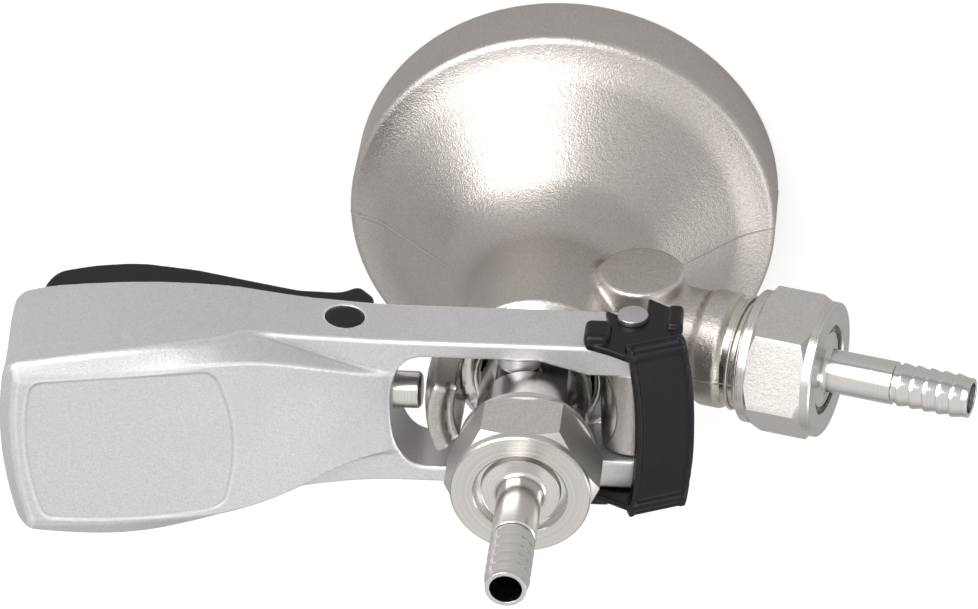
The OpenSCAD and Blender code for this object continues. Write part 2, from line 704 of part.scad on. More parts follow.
// The hollow under the handle, open downward. It starts behind the plunger's web.
module handle_hollow() {
  function row_at(x) = let (s = (grip_start - x) / grip_l) [s,
    for (k = [1:5]) lookup(s, [for (row = grip_shares) [row[0], row[k]]])];
  hollow_l = web_x - grip_start + grip_l - grip_end_wall;
  stations = [for (i = [0:9]) web_x - i * hollow_l / 9];
  loft([for (x = stations) at_x(x, grip_section(row_at(x), grip_wall))]);
}

module window() {
  round_x = window_round - window_reach;
  ends = [for (i = [0:16]) let (a = 90 + 180 * i / 16) [round_x + window_round * cos(a), window_half * sin(a)]];
  polygon(concat([[hinge_x + 2 * eye_r, window_half]], ends, [[hinge_x + 2 * eye_r, -window_half]]));
}

module tine() {
  ramp = tine_in - eye_in;
  intersection() {
    translate([0, 0, lever_z - 2 * tine_low]) linear_extrude(4 * tine_high) polygon([
      [web_x, tine_in - ramp / 2], [-window_reach, tine_in - ramp / 2], [-window_reach + ramp, tine_in],
      [nub_x, tine_in], [hinge_x - 1.3 * knuckle_r, eye_in], [hinge_x + 2 * eye_r, eye_in],
      [hinge_x + 2 * eye_r, tine_out], [web_x, tine_out]]);
    rotate([90, 0, 0]) linear_extrude(3 * tine_out, center = true) union() {
      translate([hinge_x, eye_z]) circle(r = eye_r);
      translate([web_x, eye_z - eye_r]) square([hinge_x - web_x, 2 * eye_r]);
    }
  }
}

module lever() color("#cfccd0") {
  difference() {
    union() {
      difference() {
        union() {
          handle_skin();
          translate([grip_start - overrun, -tine_out, lever_z - tine_low])
            cube([window_reach / 4, 2 * tine_out, tine_low + tine_high]);
        }
        handle_hollow();
        translate([0, 0, lever_z - 2 * tine_high]) linear_extrude(4 * tine_high) window();
      }
      both_sides() tine();
      // Cam nubs on the inner faces of the tines
      both_sides() translate([-nub_x, nub_in, lever_z]) rotate([-90, 0, 0])
        cylinder(r = nub_r, h = tine_in - nub_in + (tine_out - tine_in) / 2);
      spring_rib();
      spring_peg();
    }
    both_sides() ear_pocket();
    on_hinge() cylinder(r = hinge_r + hinge_fit, h = 4 * hinge_half, center = true);
    translate([-pivot_x, 0, pivot_z]) rotate([90, 0, 0]) cylinder(r = stud_r + stud_fit, h = 4 * tine_out, center = true);
    translate([rib_x - rib_t - overrun, 0, lever_z]) rotate([0, 90, 0]) cylinder(r = shank_r + plunger_fit, h = rib_t + 2 * overrun);
    translate([web_x - overrun, 0, lever_z]) rotate([0, 90, 0]) cylinder(r = plunger_r + plunger_fit, h = plunger_web + 4 * overrun);
  }
}

// Room for the trigger's ears beside the plunger's web
module ear_pocket() {
  low = lever_z - 2 * tine_low;
  room = ear_r + body_gap;
  translate([-pivot_x - room, trigger_half - trigger_wall - body_gap, low])
    cube([2 * room, trigger_wall + 2 * body_gap, pivot_z + room - low]);
}

// The rib that the plunger's spring pushes on hangs from the roof of the hollow
module spring_rib() {
  roof = lever_z + 0.42 * grip_rise;
  translate([rib_x - rib_t, -plunger_collar_r, lever_z - plunger_collar_r])
    cube([rib_t, 2 * plunger_collar_r, roof - lever_z + plunger_collar_r]);
}

// The peg that centres the trigger's spring under the handle's roof
module spring_peg() {
  roof = lever_z + 0.8 * grip_rise;
  translate([-return_x, 0, return_top]) cylinder(r = return_r + return_wire, h = roof - return_top, $fn = hidden_fn);
  translate([-return_x, 0, return_top - 2 * return_wire - return_r / 2])
    cylinder(r = return_r - 2 * return_wire, h = return_r, $fn = hidden_fn);
}
return_top = lever_z + 0.62 * grip_rise;

module hinge_pin() color("#9d9a9c") on_hinge() {
  $fn = fine_fn;
  groove_in = tine_out + body_gap - seat_gap;
  groove_out = tine_out + body_gap + leg_t + seat_gap;
  bevel = pin_groove;
  half = [[0, 0], [hinge_r, 0], [hinge_r, groove_in], [hinge_r - pin_groove, groove_in],
    [hinge_r - pin_groove, groove_out], [hinge_r, groove_out], [hinge_r, hinge_half - bevel],
    [hinge_r - bevel, hinge_half], [0, hinge_half]];
  rotate_extrude() polygon(half);
  mirror([0, 0, 1]) rotate_extrude() polygon(half);
}

// One leg of the clip lies on a tine's outer face, with a slot that grips the pin's groove
module clip_leg() {
  slot_r = hinge_r - pin_groove + seat_gap;
  leg_in = tine_out + body_gap;
  reach = knuckle_r * 1.5;
  difference() {
    union() {
      translate([0, leg_in + leg_t, 0]) rotate([90, 0, 0]) linear_extrude(leg_t) polygon([
        [hinge_x - 0.58 * reach, lever_z - 0.30 * reach], [hinge_x - 0.26 * reach, lever_z - 0.12 * reach],
        [hinge_x + 0.28 * reach, lever_z - 0.75 * reach], [hinge_x + 0.66 * reach, lever_z - 0.5 * reach],
        [hinge_x + 0.95 * reach, lever_z - 0.46 * reach], [hinge_x + reach, lever_z + 0.25 * reach],
        [hinge_x + 0.82 * reach, lever_z + 0.46 * reach], [strap_mid[0] + 0.5 * strap_w * cos(strap_slope), strap_low_z],
        [strap_mid[0] - 0.5 * strap_w * cos(strap_slope), strap_high_z], [hinge_x - 0.4 * reach, strap_high_z - strap_t],
        [hinge_x - 0.86 * reach, lever_z + 0.9 * reach], [hinge_x - 0.9 * reach, lever_z + 0.25 * reach],
        [hinge_x - 0.45 * reach, lever_z + 0.2 * reach]]);
      // Raised tabs to push the clip off with
      translate([hinge_x - 0.9 * reach, leg_in, lever_z + 0.25 * reach]) cube([0.5 * reach, clip_half - leg_in, 0.68 * reach]);
      translate([hinge_x + 0.68 * reach, leg_in, lever_z - 0.42 * reach]) cube([0.3 * reach, clip_half - leg_in - leg_t / 3, 0.72 * reach]);
    }
    translate([hinge_x, 0, lever_z]) rotate([-90, 0, 0]) cylinder(r = slot_r, h = 2 * clip_half, $fn = fine_fn);
    translate([hinge_x - slot_r, 0, lever_z - 2 * reach]) cube([2 * slot_r, 2 * clip_half, 2 * reach]);
  }
}

// Middle of the strap's outer face, and the heights of its two edges there
strap_mid = [hinge_x + 0.8 * knuckle_r, lever_z + tine_high + 0.4 * knuckle_r];
strap_high_z = strap_mid[1] + 0.5 * strap_w * sin(strap_slope);
strap_low_z = strap_mid[1] - 0.5 * strap_w * sin(strap_slope);

module clip_strap() {
  // Stations across the strap: the place as a share of its half width and the share of its bulge
  strap_shares = [[-1, 0], [-0.75, 0.45], [-0.4, 0.85], [0, 1], [0.4, 0.85], [0.75, 0.45], [1, 0]];
  along = [cos(strap_slope), -sin(strap_slope)];
  out = [sin(strap_slope), cos(strap_slope)];
  loft([for (s = strap_shares)
    let (mid = strap_mid + strap_bulge * s[1] * along)
    [for (p = [[-0.5, 0], [0.5, 0], [0.5, -1], [-0.5, -1]])
      let (q = mid + p[0] * strap_w * along + p[1] * strap_t * out) [q[0], s[0] * clip_half, q[1]]]]);
}

module pin_clip() color("#26272c") {
  both_sides() clip_leg();
  clip_strap();
}

// Outline of the trigger's underside from its end to its front. Each row gives the place as a
// share of the trigger's length from the pivot to its end and the drop as a share of the deepest.
trigger_shares = [[1.00, 0.60], [0.975, 0.82], [0.91, 0.90], [0.85, 0.95], [0.75, 0.995], [0.69, 1.00],
  [0.52, 0.94], [0.35, 0.78], [0.18, 0.64], [0.05, 0.63], [0.02, 0.64], [-0.01, 0.735], [-0.04, 0.65], [-0.055, 0.50]];
trigger_l = trigger_reach - pivot_x;
// The studs end flush with the handle's walls
stud_end = grip_half * lookup((pivot_x + grip_start) / grip_l, [for (row = grip_shares) [row[0], row[1]]]);
trigger_top = pivot_z + 0.1 * trigger_drop;
function trigger_edge(inset) = [for (s = trigger_shares)
  [-pivot_x - s[0] * trigger_l + sign(s[0] - 0.5) * max(0, abs(s[0] - 0.46) - 0.4) / 0.14 * inset,
   lever_z - s[1] * trigger_drop + inset]];

module trigger() color("#24252b") {
  half = trigger_half;
  bar_x = tab_x + 0.25 * tab_t;
  difference() {
    union() {
      rotate([90, 0, 0]) linear_extrude(2 * half, center = true)
        polygon(concat(trigger_edge(0), [[-pivot_x + 0.07 * trigger_l, lever_z - 0.2 * trigger_drop],
          [-pivot_x + ear_r / 2, trigger_top], [-pivot_x - ear_r, trigger_top], [-trigger_reach, lever_z - 0.42 * trigger_drop]]));
      both_sides() translate([-pivot_x, half, pivot_z]) rotate([90, 0, 0]) cylinder(r = ear_r, h = trigger_wall);
    }
    rotate([90, 0, 0]) linear_extrude(2 * (half - trigger_wall), center = true)
      polygon(concat(trigger_edge(trigger_wall), [[-pivot_x + 0.2 * trigger_l, lever_z],
        [-pivot_x + 0.2 * trigger_l, lever_z + grip_rise], [-trigger_reach + trigger_wall, lever_z + grip_rise]]));
  }
  // Pivot studs that snap into the handle's walls
  both_sides() translate([-pivot_x, half - trigger_wall, pivot_z]) rotate([-90, 0, 0])
    cylinder(r = stud_r, h = stud_end - half + trigger_wall, $fn = fine_fn);
  // Cross bar that pushes the plunger's tab
  bar_top = lever_z - 0.6 * tab_drop;
  translate([bar_x, -half + trigger_wall / 2, lever_z - 0.66 * trigger_drop])
    cube([0.75 * tab_t, 2 * half - trigger_wall, bar_top - lever_z + 0.66 * trigger_drop]);
  // Seat of the return spring
  translate([-return_x, 0, lever_z - 0.95 * trigger_drop])
    cylinder(r = return_r - 2 * return_wire, h = return_low - lever_z + 0.95 * trigger_drop + return_r / 2, $fn = hidden_fn);
  translate([-return_x, 0, lever_z - 0.95 * trigger_drop])
    cylinder(r = return_r + return_wire, h = return_low - lever_z + 0.95 * trigger_drop, $fn = hidden_fn);
}
return_low = lever_z - 0.75 * trigger_drop;

module trigger_spring() color("#b8b8bc")
  translate([-return_x, 0, return_low + seat_gap])
    coil(return_r, return_wire, return_top - return_low - 2 * seat_gap, return_turns);

module plunger() color("#dcd9d4") {
  $fn = fine_fn;
  end = -tab_x - tab_t / 2 + 2 * tab_t;
  translate([0, 0, lever_z]) rotate([0, -90, 0]) rotate_extrude() polygon([
    [0, plunger_tip], [plunger_r - plunger_bevel, plunger_tip], [plunger_r, plunger_tip + plunger_bevel],
    [plunger_r, -collar_x], [plunger_collar_r, -collar_x], [plunger_collar_r, -spring_x],
    [shank_r, -spring_x], [shank_r, end], [0, end]]);
}

module plunger_tab() color("#c4c2c0") {
  hole = shank_r + seat_gap;
  difference() {
    translate([tab_x - tab_t, -tab_half, lever_z - tab_drop]) cube([tab_t, 2 * tab_half, tab_drop + tab_half]);
    translate([tab_x - tab_t - overrun, 0, lever_z]) rotate([0, 90, 0]) cylinder(r = hole, h = tab_t + 2 * overrun, $fn = fine_fn);
  }
}

module plunger_spring() color("#b8b8bc")
  translate([rib_x + seat_gap, 0, lever_z]) rotate([0, 90, 0])
    coil(catch_r, catch_wire, spring_room - 2 * seat_gap, catch_turns);

body();
bell_seal();
probe();
probe_ring_lower();
probe_ring_upper();
tip_seal();
check_ball();
ball_retainer();
beer_washer();
beer_tail();
beer_nut();
gas_valve();
gas_valve_seat();
gas_washer();
gas_tail();
gas_nut();
lever();
hinge_pin();
pin_clip();
trigger();
trigger_spring();
plunger();
plunger_tab();
plunger_spring();
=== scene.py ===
import math

import bmesh
import bpy
import numpy as np
from mathutils import Matrix, Vector


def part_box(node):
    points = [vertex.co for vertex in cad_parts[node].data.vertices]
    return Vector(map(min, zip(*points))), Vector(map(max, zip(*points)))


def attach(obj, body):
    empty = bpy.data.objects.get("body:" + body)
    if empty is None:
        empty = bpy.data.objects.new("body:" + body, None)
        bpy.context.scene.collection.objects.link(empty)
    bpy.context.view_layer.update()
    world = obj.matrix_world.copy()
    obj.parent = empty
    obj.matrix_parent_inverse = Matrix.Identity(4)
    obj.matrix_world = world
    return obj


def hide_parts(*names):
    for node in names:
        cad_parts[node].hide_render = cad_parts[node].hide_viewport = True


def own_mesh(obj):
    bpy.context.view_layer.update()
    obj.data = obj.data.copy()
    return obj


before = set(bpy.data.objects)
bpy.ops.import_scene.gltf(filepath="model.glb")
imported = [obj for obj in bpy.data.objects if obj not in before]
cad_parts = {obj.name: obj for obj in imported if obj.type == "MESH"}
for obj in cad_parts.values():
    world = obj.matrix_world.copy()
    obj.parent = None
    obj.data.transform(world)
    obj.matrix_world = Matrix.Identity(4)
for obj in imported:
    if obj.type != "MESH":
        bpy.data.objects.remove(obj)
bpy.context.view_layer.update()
mm = 0.001  # pieces are drawn in millimetres and stored in metres

# Places that several pieces share, from the frame or as the construction has them
pinLow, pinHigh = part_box("hinge_pin")
leverZ = (pinLow.z + pinHigh.z) / 2 / mm
hingeX = (pinLow.x + pinHigh.x) / 2 / mm
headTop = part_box("probe")[1].z / mm  # end face of the probe's threaded head
gasZ, gasTilt = 48.55, math.radians(15.6)  # where the inlet's axis leaves the body's, and its rise
gasReach = 53.57  # end face of the inlet, along its axis
pinHole = 3.05  # radius of the holes for the hinge pin
slant = math.sqrt(0.5)  # makes a distance of a sum along two axes, on faces at 45 degrees
gasTurn = Matrix.Rotation(math.pi / 2 - gasTilt, 4, "Y")
gasStart = Matrix.Translation((0, 0, gasZ * mm)) @ gasTurn
gasPlace = gasStart @ Matrix.Translation((0, 0, gasReach * mm))
beerPlace = Matrix.Translation((0, 0, headTop * mm))
gasAxis = (math.cos(gasTilt), 0, math.sin(gasTilt))


# Solid fields: each gives the distance to a surface in millimetres, below zero inside

def joined(a, b, r):  # both solids, with a round inner corner
    return np.maximum(r, np.minimum(a, b)) - np.hypot(np.maximum(r - a, 0), np.maximum(r - b, 0))


def shared(a, b, r):  # what both hold, with a round edge
    return np.minimum(-r, np.maximum(a, b)) + np.hypot(np.maximum(r + a, 0), np.maximum(r + b, 0))


def without(a, b, r=0.0):
    return shared(a, -b, r)


def bar(q, h, radius, low, high, edge=0.0):  # q is the distance from its axis, h the place along it
    return shared(q - radius, np.maximum(low - h, h - high), edge)


def block(x, y, z, low, high, edge=0.0):
    sides = [np.maximum(a - p, p - b) for p, a, b in zip((x, y, z), low, high)]
    return shared(shared(sides[0], sides[1], edge), sides[2], edge)


def outline(u, v, points):  # distance to a closed flat outline
    near = np.full(np.shape(u), 1e9)
    turn = np.ones(np.shape(u))
    for i, (pu, pv) in enumerate(points):
        qu, qv = points[i - 1]
        eu, ev = qu - pu, qv - pv
        wu, wv = u - pu, v - pv
        along = np.clip((wu * eu + wv * ev) / (eu * eu + ev * ev), 0, 1)
        near = np.minimum(near, (wu - eu * along) ** 2 + (wv - ev * along) ** 2)
        above, below, side = v >= pv, v < qv, eu * wv > ev * wu
        turn = np.where((above & below & side) | ~(above | below | side), -turn, turn)
    return turn * np.sqrt(near)


def inset(points, depth):  # the outline drawn in, so that rounding by depth brings it back
    area = sum(a[0] * b[1] - b[0] * a[1] for a, b in zip(points, points[1:] + points[:1]))
    way = 1 if area > 0 else -1
    drawn = []
    for i, p in enumerate(points):
        before, after = Vector(points[i - 1]), Vector(points[(i + 1) % len(points)])
        a, b = (Vector(p) - before).normalized(), (after - Vector(p)).normalized()
        na, nb = Vector((-a.y, a.x)) * way, Vector((-b.y, b.x)) * way
        drawn.append(tuple(Vector(p) + (na + nb) * depth / max(0.3, 1 + na.dot(nb))))
    return drawn


def plate(u, v, h, points, low, high, corner, edge):  # an outline with round corners, made thick
    return shared(outline(u, v, inset(points, corner)) - corner, np.maximum(low - h, h - high), edge)


def smooth(t):
    t = np.clip(t, 0, 1)
    return t * t * (3 - 2 * t)


def eased(places, values, width=2.0):  # a smooth curve through stations, as a function of the place
    cell, reach, margin = 0.25, 40, 12
    dense = np.arange(min(places) - margin, max(places) + margin, cell)
    order = np.argsort(places)
    level = np.interp(dense, np.array(places)[order], np.array(values)[order])
    bell = np.exp(-0.5 * (np.arange(-reach, reach + 1) * cell / width) ** 2)
    padded = np.pad(level, reach, mode="edge")
    level = np.convolve(padded, bell / bell.sum(), mode="valid")
    return lambda x: np.interp(x, dense, level)


def steps(*stretches):  # grid lines over stretches of (start, end, cell)
    return np.unique(np.concatenate([np.arange(a, b, c) for a, b, c in stretches]).round(3))


cellCorners = np.array([(i, j, k) for i in (0, 1) for j in (0, 1) for k in (0, 1)])
cellEdges = [(a, b) for a in range(8) for b in range(a + 1, 8)
             if np.abs(cellCorners[a] - cellCorners[b]).sum() == 1]


def sampled(field, axes, jump=4):  # the field on the grid, in full only near the surface
    level = field(*np.meshgrid(*[a[::jump] for a in axes], indexing="ij"))
    for k in range(3):
        level = np.repeat(level, jump, axis=k)
    level = level[:len(axes[0]), :len(axes[1]), :len(axes[2])].copy()
    near = np.abs(level) < 2 * jump * max(np.diff(a).max() for a in axes)
    i, j, k = np.nonzero(near)
    level[near] = field(axes[0][i], axes[1][j], axes[2][k])
    return level


def nudged(field, p, step):  # the field a step either way along each axis
    sides = []
    for k in range(3):
        d = np.zeros(3)
        d[k] = step
        sides.append((field(*(p + d).T), field(*(p - d).T)))
    return sides


def slopeOf(field, p, step=0.02):
    return np.stack([(a - b) / (2 * step) for a, b in nudged(field, p, step)], axis=1)


def skin(name, field, axes):  # the mesh of a field's surface, with the field's own normals
    level = sampled(field, axes)
    inside = level < 0
    shape = [n - 1 for n in level.shape]
    count = np.zeros(shape, np.int8)
    for i, j, k in cellCorners:
        count += inside[i:i + shape[0], j:j + shape[1], k:k + shape[2]]
    cells = np.argwhere((count > 0) & (count < 8))
    number = np.full(shape, -1)
    number[tuple(cells.T)] = np.arange(len(cells))
    place, hits = np.zeros((len(cells), 3)), np.zeros((len(cells), 1))
    for a, b in cellEdges:
        ia, ib = cells + cellCorners[a], cells + cellCorners[b]
        fa, fb = level[tuple(ia.T)], level[tuple(ib.T)]
        crossed = (fa < 0) != (fb < 0)
        pa = np.stack([axes[k][ia[:, k]] for k in range(3)], axis=1)
        pb = np.stack([axes[k][ib[:, k]] for k in range(3)], axis=1)
        share = (fa / np.where(crossed, fa - fb, 1))[:, None]
        place += np.where(crossed[:, None], pa + share * (pb - pa), 0)
        hits += crossed[:, None]
    place /= hits
    quads = []
    for k in range(3):
        u, v = (k + 1) % 3, (k + 2) % 3
        here, there = [slice(None)] * 3, [slice(None)] * 3
        here[k], there[k] = slice(None, -1), slice(1, None)
        starts = np.argwhere(inside[tuple(here)] != inside[tuple(there)])
        kept = (starts[:, u] > 0) & (starts[:, v] > 0) & (starts[:, u] < shape[u]) & (starts[:, v] < shape[v])
        starts = starts[kept]
        ring = []
        for du, dv in ((-1, -1), (0, -1), (0, 0), (-1, 0)):
            at = starts.copy()
            at[:, u] += du
            at[:, v] += dv
            ring.append(number[tuple(at.T)])
        ring = np.stack(ring, axis=1)
        quads.append(np.where(inside[tuple(starts.T)][:, None], ring, ring[:, ::-1]))
    quads = np.concatenate(quads)
    reach = 0.6 * min(np.diff(a).min() for a in axes)
    for _ in range(4):  # each point slides onto the surface itself
        slope = slopeOf(field, place)
        push = field(*place.T)[:, None] / np.maximum((slope ** 2).sum(1, keepdims=True), 0.2)
        place -= slope * np.clip(push, -reach, reach)
    normals = slopeOf(field, place)
    normals /= np.maximum(np.linalg.norm(normals, axis=1, keepdims=True), 1e-6)
    mesh = bpy.data.meshes.new(name)
    mesh.from_pydata((place * mm).tolist(), [], quads.tolist())
    mesh.update()
    mesh.shade_smooth()
    mesh.normals_split_custom_set_from_vertices(normals.tolist())
    middle, step, sharpest = field(*place.T), 0.4, 2.5
    bend = sum(a + b - 2 * middle for a, b in nudged(field, place, step)) / step ** 2
    ridge = mesh.attributes.new("ridge", "FLOAT", "POINT")  # above zero on edges, below in corners
    ridge.data.foreach_set("value", np.clip(bend / sharpest, -1, 1).astype(np.float32))
    print(name, len(place), "points")
    return mesh


def crisp(mesh, sharp=32):  # faces out, and edges sharper than that angle stay crisp
    work = bmesh.new()
    work.from_mesh(mesh)
    bmesh.ops.remove_doubles(work, verts=work.verts, dist=1e-7)
    bmesh.ops.recalc_face_normals(work, faces=work.faces)
    limit = math.radians(sharp)
    for edge in work.edges:
        edge.smooth = len(edge.link_faces) == 2 and edge.calc_face_angle(0) < limit
    for face in work.faces:
        face.smooth = True
    work.to_mesh(mesh)
    work.free()
    return mesh


def spun(name, outlineAt, segments=144, place=None):  # an outline of (radius, height) for each angle, round Z
    verts, faces = [], []
    for i in range(segments):
        angle = 2 * math.pi * i / segments
        points = outlineAt(angle)
        verts += [(r * math.cos(angle) * mm, r * math.sin(angle) * mm, z * mm) for r, z in points]
    n = len(points)
    closed = points[0][0] > 0
    for i in range(segments):
        j = (i + 1) % segments
        for k in range(n if closed else n - 1):
            m = (k + 1) % n
            faces.append((i * n + k, j * n + k, j * n + m, i * n + m))
    mesh = bpy.data.meshes.new(name)
    mesh.from_pydata(verts, [], faces)
    crisp(mesh)
    if place:
        mesh.transform(place)
    return mesh


def turned(name, points, segments=144, place=None):  # a closed outline, or one from axis to axis
    return spun(name, lambda angle: points, segments, place)


def softened(points, width, parts=3):  # an outline with its corners rounded over about that width
    made = []
    for i, corner in enumerate(points):
        p = Vector(corner)
        a, b = Vector(points[i - 1]) - p, Vector(points[(i + 1) % len(points)]) - p
        cut = min(width, a.length * 0.45, b.length * 0.45)
        if p.x == 0 or cut < 1e-5 or a.angle(b) > math.radians(172):
            made.append(tuple(p))
            continue
        start, end = p + a.normalized() * cut, p + b.normalized() * cut
        for k in range(parts + 1):
            t = k / parts
            made.append(tuple(start * (1 - t) ** 2 + p * 2 * t * (1 - t) + end * t * t))
    return made


def placed(name, data):  # a new object in the scene
    made = bpy.data.objects.new(name, data)
    bpy.context.scene.collection.objects.link(made)
    return made


def piece(name, mesh, body, material, replaced=()):
    made = placed(name, mesh)
    mesh.materials.clear()
    mesh.materials.append(material)
    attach(made, body)
    if replaced:
        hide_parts(*replaced)
    return made


# Nodes: an input is given as a value or as the output that feeds it

def newNode(tree, kind, inputs=None, **settings):
    made = tree.nodes.new(kind)
    for name, value in settings.items():
        setattr(made, name, value)
    for socket, value in (inputs or {}).items():
        if isinstance(value, bpy.types.NodeSocket):
            tree.links.new(value, made.inputs[socket])
        else:
            made.inputs[socket].default_value = value
    return made


def calc(tree, operation, *values):
    return newNode(tree, "ShaderNodeMath", dict(enumerate(values)), operation=operation).outputs[0]


def times(tree, a, b):
    return calc(tree, "MULTIPLY", a, b)


def ranged(tree, value, low, high, start=0.0, end=1.0):
    return newNode(tree, "ShaderNodeMapRange", {"Value": value, "From Min": low, "From Max": high,
                                                "To Min": start, "To Max": end}).outputs["Result"]


def newMaterial(name, **settings):
    made = bpy.data.materials.new(name)
    made.use_nodes = True
    tree = made.node_tree
    shade = tree.nodes["Principled BSDF"]
    for label, value in settings.items():
        shade.inputs[label].default_value = value
    return made, tree, shade


# Camera, floor and lights

view = {"place": (77.05, 535.24, 814.85), "lens": 171.81,
        "right": (0.99492319, -0.02600575, -0.09721908),
        "up": (-0.03404325, 0.82211342, -0.56830501),
        "back": (0.09470431, 0.56872949, 0.81705438)}
studio = {"skyLow": 0.42, "skyHigh": 0.95, "skyTop": 0.8, "floorColour": 0.40, "floorGlow": 0.64,
          "floorSeen": 0.07, "floorHalf": 4, "aim": 0.05, "keyPower": 10.0, "fillPower": 2.4}


def makeCamera():
    lens = bpy.data.cameras.new("camera")
    lens.lens = view["lens"]
    lens.sensor_width = 36
    camera = placed("camera", lens)
    turn = Matrix((view["right"], view["up"], view["back"])).transposed()
    camera.matrix_world = Matrix.Translation(Vector(view["place"]) * mm) @ turn.to_4x4()
    bpy.context.scene.camera = camera


def softbox(name, direction, distance, size, power):
    lamp = bpy.data.lights.new(name, "AREA")
    lamp.shape = "RECTANGLE"
    lamp.size, lamp.size_y = size
    lamp.energy = power
    away = Vector(direction).normalized()
    turn = away.to_track_quat("Z", "Y").to_matrix().to_4x4()
    middle = Vector((0, 0, studio["aim"]))
    placed(name, lamp).matrix_world = Matrix.Translation(middle + away * distance) @ turn


def seenRays(tree):  # the floor's glow: full for camera and transmission rays, and fainter in gloss
    rays = newNode(tree, "ShaderNodeLightPath").outputs
    total = 0.0
    for label, level in (("Is Camera Ray", "floorGlow"), ("Is Transmission Ray", "floorGlow"),
                         ("Is Glossy Ray", "floorSeen")):
        total = calc(tree, "MULTIPLY_ADD", rays[label], studio[level], total)
    return total


def makeWorld():  # brighter overhead, and plain white where the camera sees it
    world = bpy.data.worlds.new("studio")
    bpy.context.scene.world = world
    world.use_nodes = True
    tree = world.node_tree
    shade = tree.nodes["Background"]
    way = newNode(tree, "ShaderNodeTexCoord").outputs["Generated"]
    height = newNode(tree, "ShaderNodeSeparateXYZ", {0: way}).outputs["Z"]
    level = newNode(tree, "ShaderNodeMix", {
        "Factor": newNode(tree, "ShaderNodeLightPath").outputs["Is Camera Ray"],
        "A": ranged(tree, height, 0.0, studio["skyTop"], studio["skyLow"], studio["skyHigh"]), "B": 1.0})
    shade.inputs["Color"].default_value = (1, 0.995, 0.985, 1)
    tree.links.new(level.outputs["Result"], shade.inputs["Strength"])


def makeFloor():
    half = studio["floorHalf"]
    mesh = bpy.data.meshes.new("floor")
    corners = [(-half, -half, 0), (half, -half, 0), (half, half, 0), (-half, half, 0)]
    mesh.from_pydata(corners, [], [(0, 1, 2, 3)])
    floor = placed("floor", mesh)
    paper, tree, shade = newMaterial("floorPaper", **{
        "Base Color": (*[studio["floorColour"]] * 3, 1), "Roughness": 0.9, "Specular IOR Level": 0.1,
        "Emission Color": (1, 1, 1, 1)})
    tree.links.new(seenRays(tree), shade.inputs["Emission Strength"])
    mesh.materials.append(paper)


def makeStudio():
    bpy.context.scene.view_settings.view_transform = "Standard"
    makeWorld()
    makeFloor()
    softbox("key", (-0.44, 0.68, 0.60), 1.0, (0.95, 0.95), studio["keyPower"])
    softbox("fill", (0.75, -0.35, 0.55), 1.2, (0.5, 0.9), studio["fillPower"])


# Finishes: shared effects as node groups

def shaderGroup(name, inputs, outputs):
    tree = bpy.data.node_groups.new(name, "ShaderNodeTree")
    for label, kind, value in inputs:
        tree.interface.new_socket(label, in_out="INPUT", socket_type=kind).default_value = value
    for label in outputs:
        tree.interface.new_socket(label, in_out="OUTPUT", socket_type="NodeSocketFloat")
    return tree, tree.nodes.new("NodeGroupInput"), tree.nodes.new("NodeGroupOutput")


def putOut(tree, result, **values):
    for label, value in values.items():
        tree.links.new(value, result.inputs[label])


def noise(tree, place, scale, detail=2.0, roughness=0.5):
    return newNode(tree, "ShaderNodeTexNoise", {"Vector": place, "Scale": scale, "Detail": detail,
                                                "Roughness": roughness}).outputs["Fac"]


def makeGrain():  # blasted or cast skin: fine pits, and slow clouds of tone
    tree, given, result = shaderGroup("blastedGrain", [("Scale", "NodeSocketFloat", 2200.0)],
                                      ["Speckle", "Height", "Cloud"])
    place = newNode(tree, "ShaderNodeTexCoord").outputs["Object"]
    fine = noise(tree, place, given.outputs["Scale"], roughness=0.6)
    coarse = noise(tree, place, times(tree, given.outputs["Scale"], 0.31))
    putOut(tree, result, Speckle=ranged(tree, fine, 0.32, 0.68), Cloud=noise(tree, place, 55.0, 3.0),
           Height=calc(tree, "MULTIPLY_ADD", coarse, 0.7, fine))
    return tree


def makeWearAndShade():  # worn edges, and painted shade in the corners, from the bend of the surface
    tree, given, result = shaderGroup("edgeWearAndCornerShade", [("Amount", "NodeSocketFloat", 1.0)], ["Worn", "Dull"])
    bend = newNode(tree, "ShaderNodeAttribute", attribute_name="ridge").outputs["Fac"]
    place = newNode(tree, "ShaderNodeTexCoord").outputs["Object"]
    mixed = times(tree, bend, calc(tree, "ADD", noise(tree, place, 700.0, 3.0), 0.5))
    putOut(tree, result, Worn=ranged(tree, mixed, 0.15, 0.7, end=given.outputs["Amount"]),
           # Painted shade: the deeper the hollow, the darker the colour that is mixed in
           Dull=ranged(tree, mixed, -0.1, -0.6, end=given.outputs["Amount"]))
    return tree


def makeTurning():  # the fine rings that a lathe leaves, round an axis through a point
    tree, given, result = shaderGroup("turningMarks", [
        ("Centre", "NodeSocketVector", (0, 0, 0)), ("Axis", "NodeSocketVector", (0, 0, 1)),
        ("Scale", "NodeSocketFloat", 9000.0)], ["Rings", "Radius", "Along"])
    place = newNode(tree, "ShaderNodeTexCoord").outputs["Object"]
    axis = given.outputs["Axis"]
    offset = newNode(tree, "ShaderNodeVectorMath", {0: place, 1: given.outputs["Centre"]},
                     operation="SUBTRACT").outputs["Vector"]
    reach = newNode(tree, "ShaderNodeVectorMath", {0: offset, 1: axis},
                    operation="DOT_PRODUCT").outputs["Value"]
    shadow = newNode(tree, "ShaderNodeVectorMath", {0: axis, "Scale": reach},
                     operation="SCALE").outputs["Vector"]
    radius = newNode(tree, "ShaderNodeVectorMath", {0: offset, 1: shadow},
                     operation="DISTANCE").outputs["Value"]
    ringPlace = newNode(tree, "ShaderNodeCombineXYZ", {"X": radius, "Y": reach}).outputs["Vector"]
    putOut(tree, result, Rings=noise(tree, ringPlace, given.outputs["Scale"]), Radius=radius, Along=reach)
    return tree


grainGroup, wearAndShadeGroup, turningGroup = makeGrain(), makeWearAndShade(), makeTurning()


def placeGroup(tree, group, **inputs):
    made = tree.nodes.new("ShaderNodeGroup")
    made.node_tree = group
    for label, value in inputs.items():
        made.inputs[label].default_value = value
    return made.outputs


